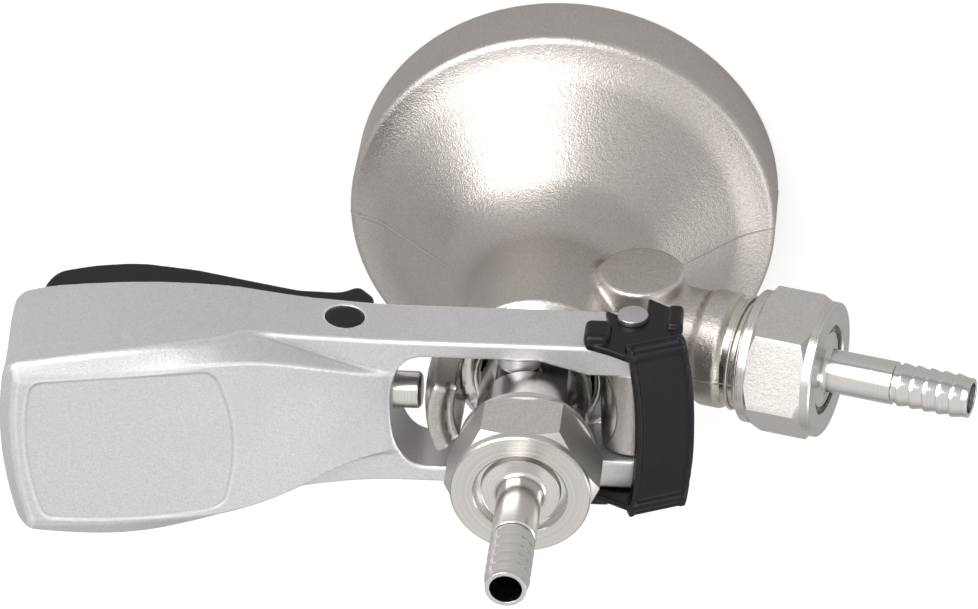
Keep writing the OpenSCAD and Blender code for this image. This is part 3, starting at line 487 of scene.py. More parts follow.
def tint(tree, factor, a, b):  # a where the factor is 0 and b where it is 1
    made = newNode(tree, "ShaderNodeMix", data_type="RGBA")
    for label, value in ((0, factor), (6, a), (7, b)):
        if isinstance(value, bpy.types.NodeSocket):
            tree.links.new(value, made.inputs[label])
        else:
            made.inputs[label].default_value = (*value, 1) if isinstance(value, tuple) else value
    return made.outputs[2]


def shaded(colour, share, lift=0.0):
    return tuple(min(1, c * share + lift) for c in colour)


def dress(tree, shade, colour, roughness, height, depth):  # depth of the bump in millimetres
    tree.links.new(colour, shade.inputs["Base Color"])
    tree.links.new(roughness, shade.inputs["Roughness"])
    relief = newNode(tree, "ShaderNodeBump", {"Height": height, "Distance": depth * mm, "Strength": 1.0})
    tree.links.new(relief.outputs["Normal"], shade.inputs["Normal"])


# In both tables the darkest tone is painted shade, laid into corners and creases
nickel = {"low": (0.47, 0.435, 0.41), "high": (0.60, 0.565, 0.54), "cornerShade": (0.20, 0.175, 0.155),
          "worn": (0.74, 0.71, 0.68), "machined": (0.68, 0.66, 0.64), "inlet": (0.60, 0.565, 0.50),
          "rough": 0.34, "roughCut": (0.22, 0.22, 0.22), "depth": 0.095}
aluminium = {"low": (0.60, 0.585, 0.61), "high": (0.72, 0.70, 0.725), "cloud": (0.58, 0.56, 0.59),
             "worn": (0.88, 0.87, 0.86), "cornerShade": (0.33, 0.32, 0.33), "depth": 0.045}


def castNickel():
    made, tree, shade = newMaterial("castNickel", Metallic=1.0)
    grain = placeGroup(tree, grainGroup, Scale=2900.0)
    wearAndShade = placeGroup(tree, wearAndShadeGroup, Amount=1.0)
    beer = placeGroup(tree, turningGroup)
    gas = placeGroup(tree, turningGroup, Centre=(0, 0, gasZ * mm), Axis=gasAxis)
    # Machined faces: the spigot and bevel of the neck, the bores, the face of the rim and the inlet
    top = times(tree, ranged(tree, beer["Radius"], 0.0166, 0.0164),
                ranged(tree, beer["Along"], 0.0680, 0.0682))
    bores = ranged(tree, beer["Radius"], 0.01135, 0.0113)
    rim = ranged(tree, beer["Along"], 0.0006, 0.0004)
    inlet = ranged(tree, gas["Along"], 0.0390, 0.0394)
    cut = calc(tree, "MAXIMUM", calc(tree, "MAXIMUM", top, bores), calc(tree, "MAXIMUM", rim, inlet))
    colour = tint(tree, grain["Speckle"], nickel["low"], nickel["high"])
    # The darkest of these tones is painted shade, laid into corners and fillets by the bend of the surface
    for factor, tone in ((cut, "machined"), (inlet, "inlet"), (times(tree, wearAndShade["Worn"], 0.7), "worn"),
                         (times(tree, wearAndShade["Dull"], 0.75), "cornerShade")):
        colour = tint(tree, factor, colour, nickel[tone])
    rough = calc(tree, "MULTIPLY_ADD", grain["Cloud"], 0.14, nickel["rough"] - 0.07)
    rough = tint(tree, cut, rough, nickel["roughCut"])
    rings = times(tree, times(tree, beer["Rings"], cut), 0.12)
    pits = times(tree, grain["Height"], calc(tree, "SUBTRACT", 1.0, times(tree, cut, 0.93)))
    dress(tree, shade, colour, rough, calc(tree, "ADD", pits, rings), nickel["depth"])
    return made


def turnedMetal(name, colour, roughness, centre=(0, 0, 0), axis=(0, 0, 1), marks=0.03, blasted=None):
    made, tree, shade = newMaterial(name, Metallic=1.0)
    rings = placeGroup(tree, turningGroup, Centre=centre, Axis=axis, Scale=7000.0)
    grain = placeGroup(tree, grainGroup, Scale=3500.0)
    dark = shaded(colour, 0.80)
    toned = tint(tree, ranged(tree, rings["Rings"], 0.3, 0.7), dark, colour)
    toned = tint(tree, times(tree, ranged(tree, grain["Cloud"], 0.62, 0.42), 0.25), toned, dark)
    rough = ranged(tree, rings["Rings"], 0.25, 0.75, roughness * 0.7, roughness * 1.35)
    height = calc(tree, "ADD", rings["Rings"], times(tree, grain["Height"], 0.12))
    if blasted:  # the flats between these two places along the axis are blasted, not turned
        (low, high), fade = blasted, 0.0001
        flats = times(tree, ranged(tree, rings["Along"], low - fade, low + fade),
                      ranged(tree, rings["Along"], high + fade, high - fade))
        speckled = tint(tree, grain["Speckle"], shaded(colour, 0.78), shaded(colour, 1.04))
        toned = tint(tree, flats, toned, speckled)
        rough = tint(tree, flats, rough, (0.33, 0.33, 0.33))
        height = tint(tree, flats, height, times(tree, grain["Height"], 1.2))
    dress(tree, shade, toned, rough, height, marks)
    return made


def blastedAluminium():
    made, tree, shade = newMaterial("blastedAluminium", Metallic=0.92)
    grain = placeGroup(tree, grainGroup, Scale=2600.0)
    wearAndShade = placeGroup(tree, wearAndShadeGroup, Amount=1.0)
    colour = tint(tree, grain["Speckle"], aluminium["low"], aluminium["high"])
    # The darkest of these tones is painted shade, laid into corners by the bend of the surface
    for factor, tone in ((times(tree, ranged(tree, grain["Cloud"], 0.40, 0.65), 0.3), "cloud"),
                         (wearAndShade["Worn"], "worn"), (times(tree, wearAndShade["Dull"], 0.5), "cornerShade")):
        colour = tint(tree, factor, colour, aluminium[tone])
    rough = calc(tree, "SUBTRACT", ranged(tree, grain["Cloud"], 0.3, 0.7, 0.46, 0.56),
                 times(tree, wearAndShade["Worn"], 0.16))
    dress(tree, shade, colour, rough, grain["Height"], aluminium["depth"])
    return made


def mouldedPlastic(name, colour, roughness, depth=0.012):
    made, tree, shade = newMaterial(name, **{"Specular IOR Level": 0.24})
    grain = placeGroup(tree, grainGroup, Scale=1800.0)
    wearAndShade = placeGroup(tree, wearAndShadeGroup, Amount=1.0)
    toned = tint(tree, times(tree, grain["Speckle"], 0.35), colour, shaded(colour, 1.4, 0.002))
    toned = tint(tree, times(tree, wearAndShade["Worn"], 0.5), toned, shaded(colour, 2.2, 0.01))
    rough = ranged(tree, grain["Cloud"], 0.3, 0.7, roughness - 0.07, roughness + 0.07)
    dress(tree, shade, toned, rough, grain["Height"], depth)
    return made


def flatsFrom(end):  # where a nut's flats lie along its axis, from the end face that it closes
    return (end - 7.74) * mm, (end + 3.76) * mm


gasCentre, leverCentre = (0, 0, gasZ * mm), (0, 0, leverZ * mm)
finish = {
    "cast": castNickel(),
    "beer": turnedMetal("turnedNickelBeer", (0.70, 0.675, 0.65), 0.24, blasted=flatsFrom(headTop)),
    "gas": turnedMetal("turnedNickelGas", (0.70, 0.675, 0.65), 0.24, gasCentre, gasAxis,
                       blasted=flatsFrom(gasReach)),
    "beerTail": turnedMetal("polishedNickelBeer", (0.74, 0.72, 0.70), 0.15, marks=0.012),
    "gasTail": turnedMetal("polishedNickelGas", (0.74, 0.72, 0.70), 0.15, gasCentre, gasAxis, 0.012),
    "probe": turnedMetal("polishedSteel", (0.70, 0.685, 0.66), 0.13, marks=0.008),
    "plunger": turnedMetal("groundSteel", (0.72, 0.70, 0.67), 0.16, leverCentre, (1, 0, 0), 0.008),
    "pin": turnedMetal("pinSteel", (0.60, 0.59, 0.62), 0.38, (hingeX * mm, 0, leverZ * mm), (0, 1, 0), 0.02),
    "tab": turnedMetal("pressedSteel", (0.56, 0.55, 0.54), 0.34, leverCentre, (1, 0, 0), 0.01),
    "spring": turnedMetal("springSteel", (0.58, 0.57, 0.56), 0.28, marks=0.01),
    "lever": blastedAluminium(),
    "black": mouldedPlastic("blackPlastic", (0.0045, 0.005, 0.007), 0.28),
    "rubber": mouldedPlastic("sealRubber", (0.022, 0.022, 0.024), 0.62, 0.03),
    "ball": mouldedPlastic("ballPlastic", (0.78, 0.76, 0.71), 0.30, 0.004),
    "seat": mouldedPlastic("seatPlastic", (0.66, 0.63, 0.56), 0.42, 0.008)}


# What repeats is made by two trees: a wire along a path, and rings in a row

def geometryTree(name, inputs):
    tree = bpy.data.node_groups.new(name, "GeometryNodeTree")
    tree.interface.new_socket("Geometry", in_out="INPUT", socket_type="NodeSocketGeometry")
    for label, kind, value in inputs:
        socket = tree.interface.new_socket(label, in_out="INPUT", socket_type=kind)
        if value is not None:
            socket.default_value = value
    tree.interface.new_socket("Geometry", in_out="OUTPUT", socket_type="NodeSocketGeometry")
    return tree, tree.nodes.new("NodeGroupInput").outputs, tree.nodes.new("NodeGroupOutput")


def closeTree(tree, given, result, geometry):  # made real, painted and put out
    whole = newNode(tree, "GeometryNodeRealizeInstances", {"Geometry": geometry}).outputs["Geometry"]
    painted = newNode(tree, "GeometryNodeSetMaterial", {"Geometry": whole, "Material": given["Material"]})
    tree.links.new(painted.outputs["Geometry"], result.inputs["Geometry"])
    return tree


def makeWoundTree():  # a round wire wound along Z, with its ends drawn down over this share of its length
    tree, given, result = geometryTree("woundWire", [
        ("Turns", "NodeSocketFloat", 4.0), ("Coil Radius", "NodeSocketFloat", 0.01),
        ("Length", "NodeSocketFloat", 0.02), ("Wire Radius", "NodeSocketFloat", 0.0005),
        ("Fade", "NodeSocketFloat", 0.0), ("Sides", "NodeSocketInt", 10), ("Per Turn", "NodeSocketInt", 48),
        ("Material", "NodeSocketMaterial", None)])
    coil = newNode(tree, "GeometryNodeCurveSpiral", {
        "Resolution": given["Per Turn"], "Rotations": given["Turns"], "Start Radius": given["Coil Radius"],
        "End Radius": given["Coil Radius"], "Height": given["Length"]}).outputs["Curve"]
    share = newNode(tree, "GeometryNodeSplineParameter").outputs["Factor"]
    fromEnd = calc(tree, "SUBTRACT", 0.5, calc(tree, "ABSOLUTE", calc(tree, "SUBTRACT", share, 0.5)))
    drawn = ranged(tree, fromEnd, 0.0, calc(tree, "MAXIMUM", given["Fade"], 0.0001), 0.35)
    thick = newNode(tree, "GeometryNodeSwitch", {
        "Switch": calc(tree, "GREATER_THAN", given["Fade"], 0.0), "False": 1.0, "True": drawn},
        input_type="FLOAT").outputs["Output"]
    ring = newNode(tree, "GeometryNodeCurvePrimitiveCircle", {
        "Resolution": given["Sides"], "Radius": given["Wire Radius"]}).outputs["Curve"]
    skinned = newNode(tree, "GeometryNodeCurveToMesh", {
        "Curve": coil, "Profile Curve": ring, "Scale": thick, "Fill Caps": True}).outputs["Mesh"]
    return closeTree(tree, given, result, skinned)


def makeRowTree():  # copies of one ring in a row along Z
    tree, given, result = geometryTree("ringRow", [
        ("Ring", "NodeSocketObject", None), ("Count", "NodeSocketInt", 5), ("Start", "NodeSocketFloat", 0.02),
        ("Pitch", "NodeSocketFloat", 0.0027), ("Material", "NodeSocketMaterial", None)])
    first = newNode(tree, "ShaderNodeCombineXYZ", {"Z": given["Start"]}).outputs["Vector"]
    gap = newNode(tree, "ShaderNodeCombineXYZ", {"Z": given["Pitch"]}).outputs["Vector"]
    row = newNode(tree, "GeometryNodeMeshLine", {
        "Count": given["Count"], "Start Location": first, "Offset": gap}).outputs["Mesh"]
    ring = newNode(tree, "GeometryNodeObjectInfo", {"Object": given["Ring"]}).outputs["Geometry"]
    rings = newNode(tree, "GeometryNodeInstanceOnPoints", {"Points": row, "Instance": ring})
    return closeTree(tree, given, result, rings.outputs["Instances"])


woundTree, rowTree = makeWoundTree(), makeRowTree()


def grown(name, tree, values):  # the plain mesh that a tree makes from these inputs
    holder = placed(name, bpy.data.meshes.new(name + "Start"))
    modifier = holder.modifiers.new("shape", "NODES")
    modifier.node_group = tree
    sockets = {s.name: s.identifier for s in tree.interface.items_tree if s.in_out == "INPUT"}
    for label, value in values.items():
        modifier[sockets[label]] = value
    bpy.context.view_layer.update()
    result = holder.evaluated_get(bpy.context.evaluated_depsgraph_get())
    mesh = bpy.data.meshes.new_from_object(result)
    holder.modifiers.remove(modifier)
    bpy.data.objects.remove(holder)
    mesh.name = name
    return mesh


def wound(name, values, material, place):
    mesh = grown(name, woundTree, {**values, "Material": material})
    crisp(mesh, 60)
    mesh.transform(place)
    return mesh


def combined(name, parts, sharp=32):  # several closed meshes as one
    work = bmesh.new()
    for part in parts:
        work.from_mesh(part)
    mesh = bpy.data.meshes.new(name)
    work.to_mesh(mesh)
    work.free()
    return crisp(mesh, sharp)


makeCamera()
makeStudio()
print("studio and finishes ready")


# Body: one casting with the bell, the cone, the neck, the gas inlet, the knuckle and the latch arm

casting = {
    "bell": 44.08, "band": 14.3, "bandEdge": 1.3, "cone": 54.85, "wall": 3.2, "step": 4.5,
    "neck": 17.0, "neckTop": leverZ - 6.2, "neckBevel": 1.5, "blend": 6.0,
    "spigot": 12.7, "spigotTop": leverZ - 4, "bore": 11.08, "throat": 9.8, "throatTop": 38.0,
    "seat": 19.5, "seatLow": 20.0, "sealGroove": (12.45, 17.25, 23.6),
    "lugReach": 36.4, "lugLow": 2.5, "lugHigh": 6.5, "lugHalf": 13.0,
    "inlet": 10.0, "shoulder": 33.0, "barrel": 11.7, "threadStart": 39.6, "core": 11.0,
    "gasBore": 4.0, "pocket": 8.2, "pocketDepth": 8.0, "boss": 8.5, "bossReach": 15.0, "bossAlong": 20.2,
    "seam": 0.14, "knuckle": 6.5, "knuckleHalf": 9.8, "webHalf": 8.0,
    "armIn": 15.4, "armOut": 21.5, "armRise": 10.0, "armSpread": 24.0, "socket": 4.0, "socketDepth": 3.0}
inletThread = {"pitch": 1.82, "ridge": 0.72, "coil": 11.28, "fade": 0.4, "startGap": 0.2, "endGap": 0.8}


def bellField(q, z):
    c = casting
    cone = (q + z - c["cone"]) * slant
    shell = shared(joined(z - c["band"], cone, c["step"]), q - c["bell"], c["bandEdge"])
    neck = shared(q - c["neck"], z - c["neckTop"], 0)
    bevel = (q + z - (c["neck"] + c["neckTop"] - c["neckBevel"])) * slant
    shell = joined(shell, shared(neck, bevel, 0.15), c["blend"])
    return joined(shell, bar(q, z, c["spigot"], 40, c["spigotTop"], 0.3), 0.3)


def inletField(y, s, n):
    c = casting
    p = np.hypot(y, n)
    rise = c["barrel"] - c["inlet"]
    swell = 1 - smooth((s - c["armIn"]) / 6) + smooth((s - c["shoulder"] + 1) / 3.0)
    sleeve = shared(p - c["inlet"] - rise * swell, np.maximum(-s, s - c["threadStart"]), 1.2)
    core = bar(p, s, c["core"], 0, gasReach, 0.5)
    boss = bar(np.hypot(s - c["bossAlong"], n), y, c["boss"], 0, c["bossReach"], 0.7)
    return joined(joined(sleeve, core, 0.5), boss, 2.0)


def knuckleField(x, y, z):
    c = casting
    h = np.abs(y)
    barrel = bar(np.hypot(x - hingeX, z - leverZ), h, c["knuckle"], -1, c["knuckleHalf"], 0.7)
    foot = gasZ + hingeX * math.tan(gasTilt)
    r = c["knuckle"]
    top, low = leverZ - 0.6 * r, foot - 4
    sides = [(hingeX - 0.75 * r, top), (hingeX - r, low), (hingeX + r, low), (hingeX + 0.75 * r, top)]
    web = plate(x, z, h, sides, -1, c["webHalf"], 0.3, 1.4)
    return joined(barrel, web, 1.2)


def armField(x, y, z, q):
    c = casting
    swing = hingeX + c["armOut"]
    rise = c["armRise"]
    face = [(math.sqrt(swing ** 2 - (share * rise) ** 2) - hingeX, leverZ + share * rise)
            for share in (-0.5, -0.25, 0, 0.25, 0.5, 0.75, 1)]
    depth = c["armOut"] - c["armIn"]
    top, low = leverZ + rise, leverZ - 20
    crest = face[-1][0]
    sides = [(c["armIn"] - depth / 3, low), (c["neck"], low), (c["armOut"] - depth / 3, low + depth), *face,
             (crest - depth / 2.4, top - 0.3), (c["armIn"] + depth / 4, top - 2.2), (c["armIn"], top - 2.6),
             (c["armIn"], c["neckTop"]), (c["armIn"] - depth / 3, c["neckTop"])]
    spread = math.radians(c["armSpread"])
    side = np.abs(y) * math.cos(spread) + x * math.sin(spread)
    arm = plate(q, z, side, sides, -99, 0, 0.8, 1.1)
    socket = bar(np.hypot(y, z - leverZ), x, c["socket"], -c["armOut"] - 2, c["socketDepth"] - c["armOut"], 0)
    return without(arm, socket, 0.3)


def insideField(x, y, z, q):  # the hollow of the bell round the seat, less the lugs
    c = casting
    wall = (q + z - (c["cone"] - c["wall"] * math.sqrt(2))) * slant
    room = shared(q - (c["bell"] - c["wall"]), wall, 1.5)
    seat = shared(q - c["seat"], c["seatLow"] - z, 0.4)
    room = without(room, seat, 1.0)
    turn = np.arctan2(y, x) * 3 / (2 * np.pi)
    gap = np.abs((turn - 0.5) - np.round(turn - 0.5)) * (2 * np.pi / 3)  # angle from the nearest lug's middle
    side = (gap - math.radians(c["lugHalf"])) * q
    lug = shared(shared(side, c["lugReach"] - q, 1.2), np.maximum(c["lugLow"] - z, z - c["lugHigh"]), 0.5)
    return without(room, lug, 0.6)


def bodyField(x, y, z):
    c = casting
    q = np.hypot(x, y)
    s = x * math.cos(gasTilt) + (z - gasZ) * math.sin(gasTilt)
    n = -x * math.sin(gasTilt) + (z - gasZ) * math.cos(gasTilt)
    solid = joined(bellField(q, z), inletField(y, s, n), 2.5)
    # The line where the mould parted
    solid = solid - c["seam"] * np.exp(-(y / 0.25) ** 2) * smooth((q - 17.5) / 2)
    solid = joined(solid, armField(x, y, z, q), 1.0)
    solid = joined(solid, knuckleField(x, y, z), 0.45)
    solid = without(solid, insideField(x, y, z, q), 0.4)
    solid = shared(solid, -z, 1.1)
    bore = joined(bar(q, z, c["bore"], c["throatTop"], 99), bar(q, z, c["throat"], 0, 99), 0)
    mouth = (q - z - (c["bore"] - c["spigotTop"] + 0.9)) * slant
    bore = np.minimum(bore, np.maximum(mouth, np.maximum(50 - z, q - c["bore"] - 1.4)))
    inner, outer, roof = c["sealGroove"]
    groove = np.maximum(np.maximum(inner - q, q - outer), np.maximum(-z, z - roof))
    gas = np.minimum(bar(np.hypot(y, n), s, c["gasBore"], 0, 99),
                     bar(np.hypot(y, n), s, c["pocket"], gasReach - c["pocketDepth"], 99))
    pin = np.hypot(x - hingeX, z - leverZ) - pinHole
    return without(solid, np.minimum(np.minimum(bore, groove), np.minimum(gas, pin)), 0.25)


def makeBody():
    axes = [steps((-45, -23, 0.95), (-23, 27, 0.66), (27, 33, 0.62), (33, 42, 0.42), (42, 54, 0.62)),
            steps((-45, -18, 0.95), (-18, -1, 0.66), (-1, 1, 0.25), (1, 18, 0.66), (18, 46, 0.95)),
            steps((-1, 2, 0.5), (2, 11.5, 1.4), (11.5, 18, 0.6), (18, 44, 1.3), (44, 88, 0.62))]
    mesh = skin("coupler_body", bodyField, axes)
    piece("coupler_body", mesh, "coupler", finish["cast"], ["body"])
    d, start = inletThread, casting["threadStart"]
    length = gasReach - d["endGap"] - start - 2 * d["ridge"]
    thread = wound("inlet_thread", {
        "Turns": length / d["pitch"], "Coil Radius": d["coil"] * mm, "Length": length * mm,
        "Wire Radius": d["ridge"] * mm, "Fade": d["fade"], "Sides": 8, "Per Turn": 72}, finish["gas"],
        gasStart @ Matrix.Translation((0, 0, (start + d["ridge"] + d["startGap"]) * mm)))
    piece("inlet_thread", thread, "coupler", finish["gas"])
    print("body ready")


makeBody()


# Lever: a hollow handle that runs out into a fork. Its stations run from the fork to the end.

handle = {
    "place": [-20, -27, -29.5, -33, -36.8, -40, -44.8, -52.1, -58.6, -65.9, -73.1, -80.4, -87.7, -94.9, -104],
    "halfWidth": [16.8, 16.8, 16.8, 17.0, 17.3, 17.6, 18.1, 19.2, 20.4, 21.3, 21.8, 21.8, 21.3, 20.4, 19.3],
    "crown": [82.2, 83.9, 84.5, 85.4, 86.4, 87.6, 89.6, 92.3, 94.6, 96.8, 98.4, 99.6, 100.5, 101.0, 101.0],
    "flat": [9.0, 9.1, 9.4, 10.0, 11.3, 12.4, 14.5, 16.8, 17.8, 18.0, 17.6, 17.3, 17.3, 17.3, 17.3],
    "slope": [1.0, 1.2, 1.8, 2.8, 3.6, 4.0, 4.2, 3.2, 1.6, 1.03, 0.56, 0.38, 0.37, 0.36, 0.36],
    "low": [70.6, 70.6, 70.6, 70.6, 70.65, 70.75, 70.95, 71.1, 71.3, 72.1, 72.7, 73.2, 73.4, 73.3, 75.4],
    "end": -102.2, "endBow": 0.006, "endBevel": 3.0, "corner": 3.2, "wall": 3.0, "endWall": 1.8,
    "edgeRound": 0.8, "crease": 0.45, "panel": (-97.0, -57.2, 16.9), "panelDepth": 0.3}
fork = {
    "topPlace": [-60, -52, -44.8, -36.8, -29.5, 40], "top": [86.6, 85.7, 84.9, 84.0, 83.7, 83.7],
    "eyeZ": leverZ + 1.15, "eye": 6.55, "start": -57, "handleEnd": -24, "eyeStart": -25, "gapEnd": -20.4,
    "gapRound": 7.3, "innerPlace": [-24.8, 1.5, 10.9, 40], "inner": [13.1, 13.1, 10.2, 10.2],
    "web": -33.2, "nub": (-2.6, leverZ + 2.9, 4.4, 9.3), "pivotX": -36.9, "pivotZ": leverZ + 0.4}
springX = -68.0  # the trigger's spring, between the handle's peg and the trigger's post
leverInside = {  # blocks by their corners; rods by radius, start and end
    "room": ((-58, -1, 60), (fork["web"], 14.4, 81.5)), "rib": ((-42.8, -1, leverZ - 4.9), (-40.8, 4.9, 87)),
    "ear": ((-42.6, 11.1, 60), (-31.2, 14.2, 82.1)), "peg": (4.7, leverZ + 15.5, 94.6),
    "pegTip": (3.2, leverZ + 12.4, 94), "pivotHole": 3.81, "boltBore": (3.7, -34.2, -22),
    "shankBore": (2.1, -44, -39)}
along = {key: eased(handle["place"], handle[key]) for key in ("halfWidth", "crown", "flat", "slope", "low")}
forkTop = eased(fork["topPlace"], fork["top"])


def panelField(x, y):  # the bare panel on the crown, with bowed ends
    low, high, half = handle["panel"]
    bow = (y / half) ** 2
    ends = np.maximum(low + 2.4 * bow - x, x - high + 3.2 * bow)
    return shared(np.abs(y) - half + ((x + 77) / 20) ** 2, ends, 2.2)


def handleField(x, y, z, wall=0.0, endWall=0.0):
    d = handle
    h = np.abs(y)
    half, crown, flat = along["halfWidth"](x), along["crown"](x), along["flat"](x)
    bow = d["endBow"] * h * h * smooth((z - 76) / 22)
    plan = shared(h - half + wall, d["end"] + bow + endWall - x, d["corner"] - wall)
    level = z - crown
    if not wall:
        level = level + d["panelDepth"] * smooth(0.5 - panelField(x, y) / 0.9)
    fall = along["slope"](x)
    side = (z - crown + fall * (h - flat)) / np.sqrt(1 + fall ** 2)
    end = (z - crown + 0.6 * (d["end"] + d["endBow"] * h * h + d["endBevel"] - x)) / 1.17
    top = shared(shared(level, side, d["crease"]), end, d["crease"]) + wall
    if not wall:
        top = joined(top, np.maximum(z - forkTop(x), fork["start"] - x), 0.6)
    return shared(top, plan, d["edgeRound"])


def leverField(x, y, z):
    d = leverInside
    h = np.abs(y)
    eye = np.hypot(np.maximum(x - hingeX, 0), z - fork["eyeZ"]) - fork["eye"]
    solid = shared(shared(handleField(x, y, z), along["low"](x) - z, 0.8), x - fork["handleEnd"], 0)
    arms = np.where(x < fork["eyeStart"], np.maximum(along["low"](x) - z, z - forkTop(x)), eye)
    arms = shared(h - along["halfWidth"](x), np.maximum(arms, fork["start"] - x), 0.8)
    solid = np.minimum(solid, arms)
    inner = np.interp(x, fork["innerPlace"], fork["inner"])
    over = np.maximum(fork["gapEnd"] - x, 0) / fork["gapRound"]
    gap = inner * ((over ** 2.5 + (h / inner) ** 2.5) ** 0.4 - 1)
    solid = without(solid, gap, 0.6)
    room = shared(handleField(x, y, z, handle["wall"], handle["endWall"]), x - fork["web"], 1.0)
    room = np.minimum(room, block(x, h, z, *d["room"], 1.0))
    solid = without(solid, room, 0.5)
    nubX, nubZ, nubRadius, nubIn = fork["nub"]
    nub = bar(np.hypot(x - nubX, z - nubZ), h, nubRadius, nubIn, 14.5, 1.0)
    rib = block(x, h, z, *d["rib"], 0.3)
    peg = np.hypot(x - springX, y)
    peg = np.minimum(bar(peg, z, *d["peg"], 0.3), bar(peg, z, *d["pegTip"], 0.4))
    solid = joined(np.minimum(joined(solid, nub, 0.5), rib), peg, 0.4)
    ear = block(x, h, z, *d["ear"], 0.2)
    holes = np.minimum(np.hypot(x - hingeX, z - leverZ) - pinHole,
                       np.hypot(x - fork["pivotX"], z - fork["pivotZ"]) - d["pivotHole"])
    bore = np.hypot(y, z - leverZ)
    holes = np.minimum(holes, np.minimum(bar(bore, x, *d["boltBore"]), bar(bore, x, *d["shankBore"])))
    return without(solid, np.minimum(holes, ear), 0.25)


def makeLever():
    axes = [steps((-103.2, -98, 0.5), (-98, -94, 0.27), (-94, -61, 0.55), (-61, -56.5, 0.27),
                  (-56.5, 27, 0.5)),
            steps((-23, -17.5, 0.5), (-17.5, -15.4, 0.28), (-15.4, 15.4, 0.55), (15.4, 17.5, 0.28),
                  (17.5, 23, 0.5)),
            steps((69.2, 102, 0.5))]
    mesh = skin("lever_casting", leverField, axes)
    piece("lever_casting", mesh, "lever", finish["lever"], ["lever"])
    print("lever ready")


# Trigger: a moulded tray with ears that hang in the handle, and round studs that show at its sides

trigger = {
    "place": [-101, -98.6, -97.1, -93.0, -89.3, -83.2, -79.5, -69.0, -58.5, -48.0, -40.0, -38.1, -36.3, -34.4,
              -33.5],
    "drop": [10.0, 12.2, 17.3, 18.9, 20.1, 21.1, 21.2, 19.6, 16.6, 13.7, 13.4, 14.1, 16.1, 13.9, 12.3],
    "half": 13.6, "wall": 2.2, "end": -98.6, "ear": 5.4, "stud": 3.75, "studEnd": 17.28,
    "front": -32.7, "rimPlace": [-98.6, -42.3, -34.2, -32.6], "rim": [67.4, 78.4, 78.4, 71.9],
    "cross": ((-44.7, -1, leverZ - 14.2), (-43.2, 12.4, leverZ - 4.95)), "post": (4.7, 56.6, 60.5),
    "postTip": (3.2, 56.6, 62.6), "rib": ((-0.6, -1, 56), (0.6, 12.4, 61.5)), "ribApart": 13}
triggerLow = eased(trigger["place"], [leverZ - drop for drop in trigger["drop"]], 0.9)


def triggerField(x, y, z):
    d = trigger
    h = np.abs(y)
    under = (triggerLow(x) - z) / 1.05
    over = z - np.interp(x, d["rimPlace"], d["rim"])
    ends = np.maximum(d["end"] - x, x - d["front"])
    tray = shared(shared(under, over, 0.6), ends, 1.2)
    tray = shared(tray, h - d["half"], 0.75)
    inner = shared(shared(under + d["wall"], h - d["half"] + d["wall"], 0.8), d["end"] + d["wall"] - x, 1.0)
    tray = without(tray, inner, 0.4)
    pivot = np.hypot(x - fork["pivotX"], z - fork["pivotZ"])
    ear = bar(pivot, h, d["ear"], d["half"] - d["wall"], d["half"], 0.4)
    stud = bar(pivot, h, d["stud"], d["half"] - d["wall"], d["studEnd"], 0.5)
    tray = np.minimum(joined(tray, ear, 0.4), stud)
    cross = block(x, h, z, *d["cross"], 0.3)
    post = np.hypot(x - springX, y)
    post = np.minimum(bar(post, z, *d["post"], 0.3), bar(post, z, *d["postTip"], 0.5))
    ribs = block(np.abs(np.abs(x - springX) - d["ribApart"]), h, z, *d["rib"], 0.2)
    ribs = np.maximum(ribs, under + 0.5)
    return joined(tray, np.minimum(np.minimum(cross, post), ribs), 0.4)


def makeTrigger():
    axes = [steps((-99.5, -31, 0.5)), steps((-18, -15, 0.5), (-15, 15, 0.6), (15, 18.2, 0.5)),
            steps((54.6, 83, 0.5))]
    mesh = skin("trigger_tray", triggerField, axes)
    piece("trigger_tray", mesh, "trigger", finish["black"], ["trigger"])
    spring = wound("trigger_return_spring", {
        "Turns": 8.0, "Coil Radius": 0.0042, "Length": 0.0299, "Wire Radius": 0.0005, "Sides": 10},
        finish["spring"], Matrix.Translation((springX * mm, 0, 0.06107)))
    made = piece("trigger_return_spring", spring, "lever", finish["spring"],
                 ["trigger_spring"])
    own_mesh(made)
    print("trigger ready")


# Pin clip: two legs that grip the grooves of the hinge pin, and a bowed strap over the fork

clip = {"inside": 17.1, "leg": 1.6, "half": 20.4, "reach": 9.75, "strapThick": 2.0, "strapWidth": 11.8,
        "strapX": 5.2, "strapZ": 10.3, "slope": 23.0, "bulge": 2.0, "slot": 2.52}


